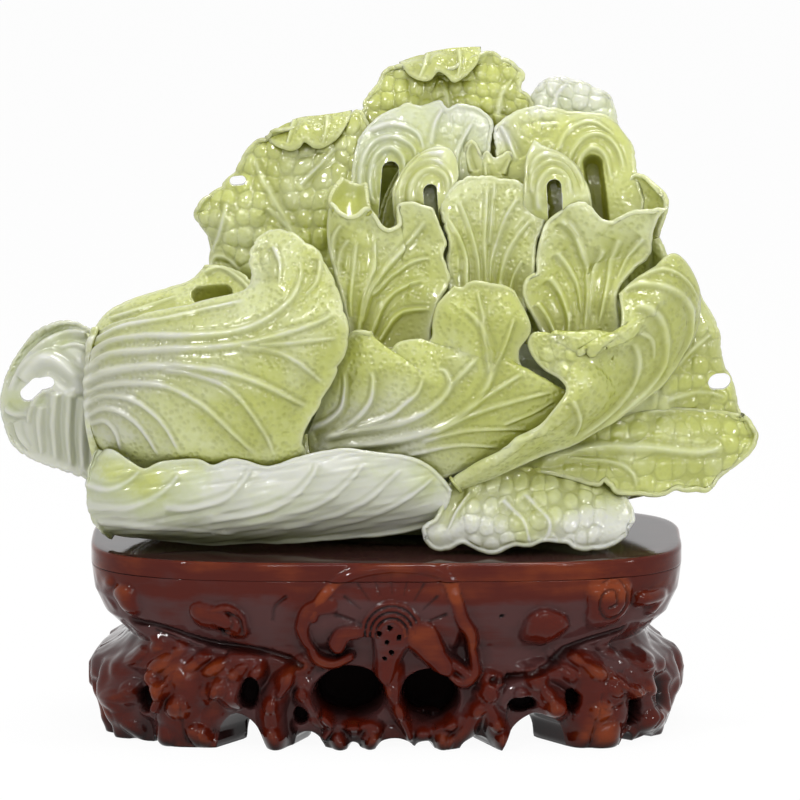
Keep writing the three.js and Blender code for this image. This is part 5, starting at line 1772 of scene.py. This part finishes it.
@dataclass
class Studio:
    """Pale floor, soft lamps and the camera, in metres. Lamps are a name, a place, a size and watts."""

    elevation: float = 9.7
    distance: float = 5.0
    view_width: float = 0.520
    aim: tuple[float, float] = (0.012, 0.2074)
    sensor: float = 36.0
    floor_size: float = 4.0
    target: Place = (0.0, 0.0, 0.22)
    lamps: tuple[tuple[str, Place, tuple[float, float], float], ...] = (
        ("key", (-0.9, -1.1, 1.7), (0.12, 0.10), 8.5), ("spark", (-0.25, -1.9, 1.1), (0.06, 0.06), 1.8),
        ("glint", (0.7, -1.7, 0.9), (0.05, 0.05), 1.2), ("strip", (0.35, -1.7, 1.5), (1.3, 0.025), 6.0),
        ("fill", (1.4, -0.9, 0.8), (0.16, 0.16), 3.5), ("top", (0.2, 0.1, 1.9), (0.9, 0.25), 13.0),
    )

    def shown_rays(self, wires: Wires) -> Socket:
        """Which rays show the room.

        Args:
            wires: helper of the node tree.

        Returns:
            A socket that is 1 for rays from the camera, through glass or off a gloss.
        """
        paths = wires.add("ShaderNodeLightPath").outputs
        seen = wires.math("MAXIMUM", paths["Is Camera Ray"], paths["Is Transmission Ray"])
        return wires.math("MAXIMUM", seen, paths["Is Glossy Ray"])

    def floor(self) -> None:
        """A pale floor that stays white to the camera and keeps the shadow."""
        corners = np.array([[-1, -1, 0], [1, -1, 0], [1, 1, 0], [-1, 1, 0]]) * self.floor_size
        floor = mesh_object("floor", corners, [(0, 1, 2, 3)])
        made = bpy.data.materials.new("floor_white")
        made.use_nodes = True
        wires = Wires(made.node_tree)
        shader = made.node_tree.nodes["Principled BSDF"]
        for name, value in (("Base Color", (0.85, 0.85, 0.85, 1.0)), ("Roughness", 0.6), ("Specular IOR Level", 0.2)):
            wires.feed(shader.inputs[name], value)
        glow = wires.add("ShaderNodeEmission", {"Color": (1.0, 1.0, 1.0, 1.0), "Strength": 1.02})
        seen = wires.math("MULTIPLY", self.shown_rays(wires), 0.93)
        both = wires.add("ShaderNodeMixShader", {0: seen, 1: shader.outputs[0], 2: glow.outputs[0]})
        wires.feed(made.node_tree.nodes["Material Output"].inputs["Surface"], both.outputs[0])
        floor.data.materials.append(made)

    def world(self) -> None:
        """White to the camera, soft grey as light."""
        world = bpy.data.worlds.new("studio")
        world.use_nodes = True
        bpy.context.scene.world = world
        wires = Wires(world.node_tree)
        back = world.node_tree.nodes["Background"]
        wires.feed(back.inputs["Color"], (1.0, 1.0, 1.0, 1.0))
        wires.feed(back.inputs["Strength"], wires.math("MULTIPLY_ADD", self.shown_rays(wires), 0.58, 0.42))

    def lamp(self, name: str, place: Place, size: tuple[float, float], power: float) -> None:
        """A soft area lamp that faces the object.

        Args:
            name: name of the lamp.
            place: where it hangs.
            size: its width and height.
            power: its power in watts.
        """
        light = bpy.data.lights.new(name, "AREA")
        light.shape = "RECTANGLE"
        light.size, light.size_y = size
        light.energy = power
        lamp = bpy.data.objects.new(name, light)
        lamp.location = place
        lamp.rotation_euler = (Vector(self.target) - Vector(place)).to_track_quat("-Z", "Y").to_euler()
        bpy.context.scene.collection.objects.link(lamp)

    def camera(self) -> None:
        """The camera at the photograph's angle."""
        tilt = math.radians(self.elevation)
        ahead = Vector((0, math.cos(tilt), -math.sin(tilt)))
        rise = Vector((0, math.sin(tilt), math.cos(tilt)))
        aim = Vector((self.aim[0], 0, 0)) + rise * self.aim[1]
        lens = bpy.data.cameras.new("camera")
        lens.sensor_width = self.sensor
        lens.lens = self.sensor * self.distance / self.view_width
        camera = bpy.data.objects.new("camera", lens)
        camera.location = aim - ahead * self.distance
        camera.rotation_euler = ahead.to_track_quat("-Z", "Y").to_euler()
        bpy.context.scene.collection.objects.link(camera)
        bpy.context.scene.camera = camera

    def build(self) -> None:
        """Set up the room."""
        self.floor()
        self.world()
        for lamp in self.lamps:
            self.lamp(*lamp)
        self.camera()
        bpy.context.scene.view_settings.view_transform = "Standard"


def main() -> None:
    """Build the room and the carving."""
    logging.basicConfig(level=logging.INFO, format="%(message)s")
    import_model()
    Studio().build()
    stone_clouding()
    stone_tooling()
    lacquer_coat()
    low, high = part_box("stand_top")
    shift = ((low[0] + high[0]) / 2 - RootStand.middle[0] * MM, (low[1] + high[1]) / 2 - RootStand.middle[1] * MM)
    jades = (
        JadeFinish("green_jade"), JadeFinish("pale_jade", green=(0.60, 0.64, 0.20, 1.0)),
        # the white stone's crease colour is a greyer painted shade
        JadeFinish("white_jade", pale=(0.62, 0.66, 0.44, 1.0), crease=(0.30, 0.33, 0.13, 1.0)),
    )
    finishes = {jade.slot: jade.material() for jade in jades}
    view = FrontView(shift=shift)
    CabbageStone(view, finishes).build()
    RootStand(view, LacquerFinish(RootStand.slot).material()).build()


if __name__ == "__main__":
    main()
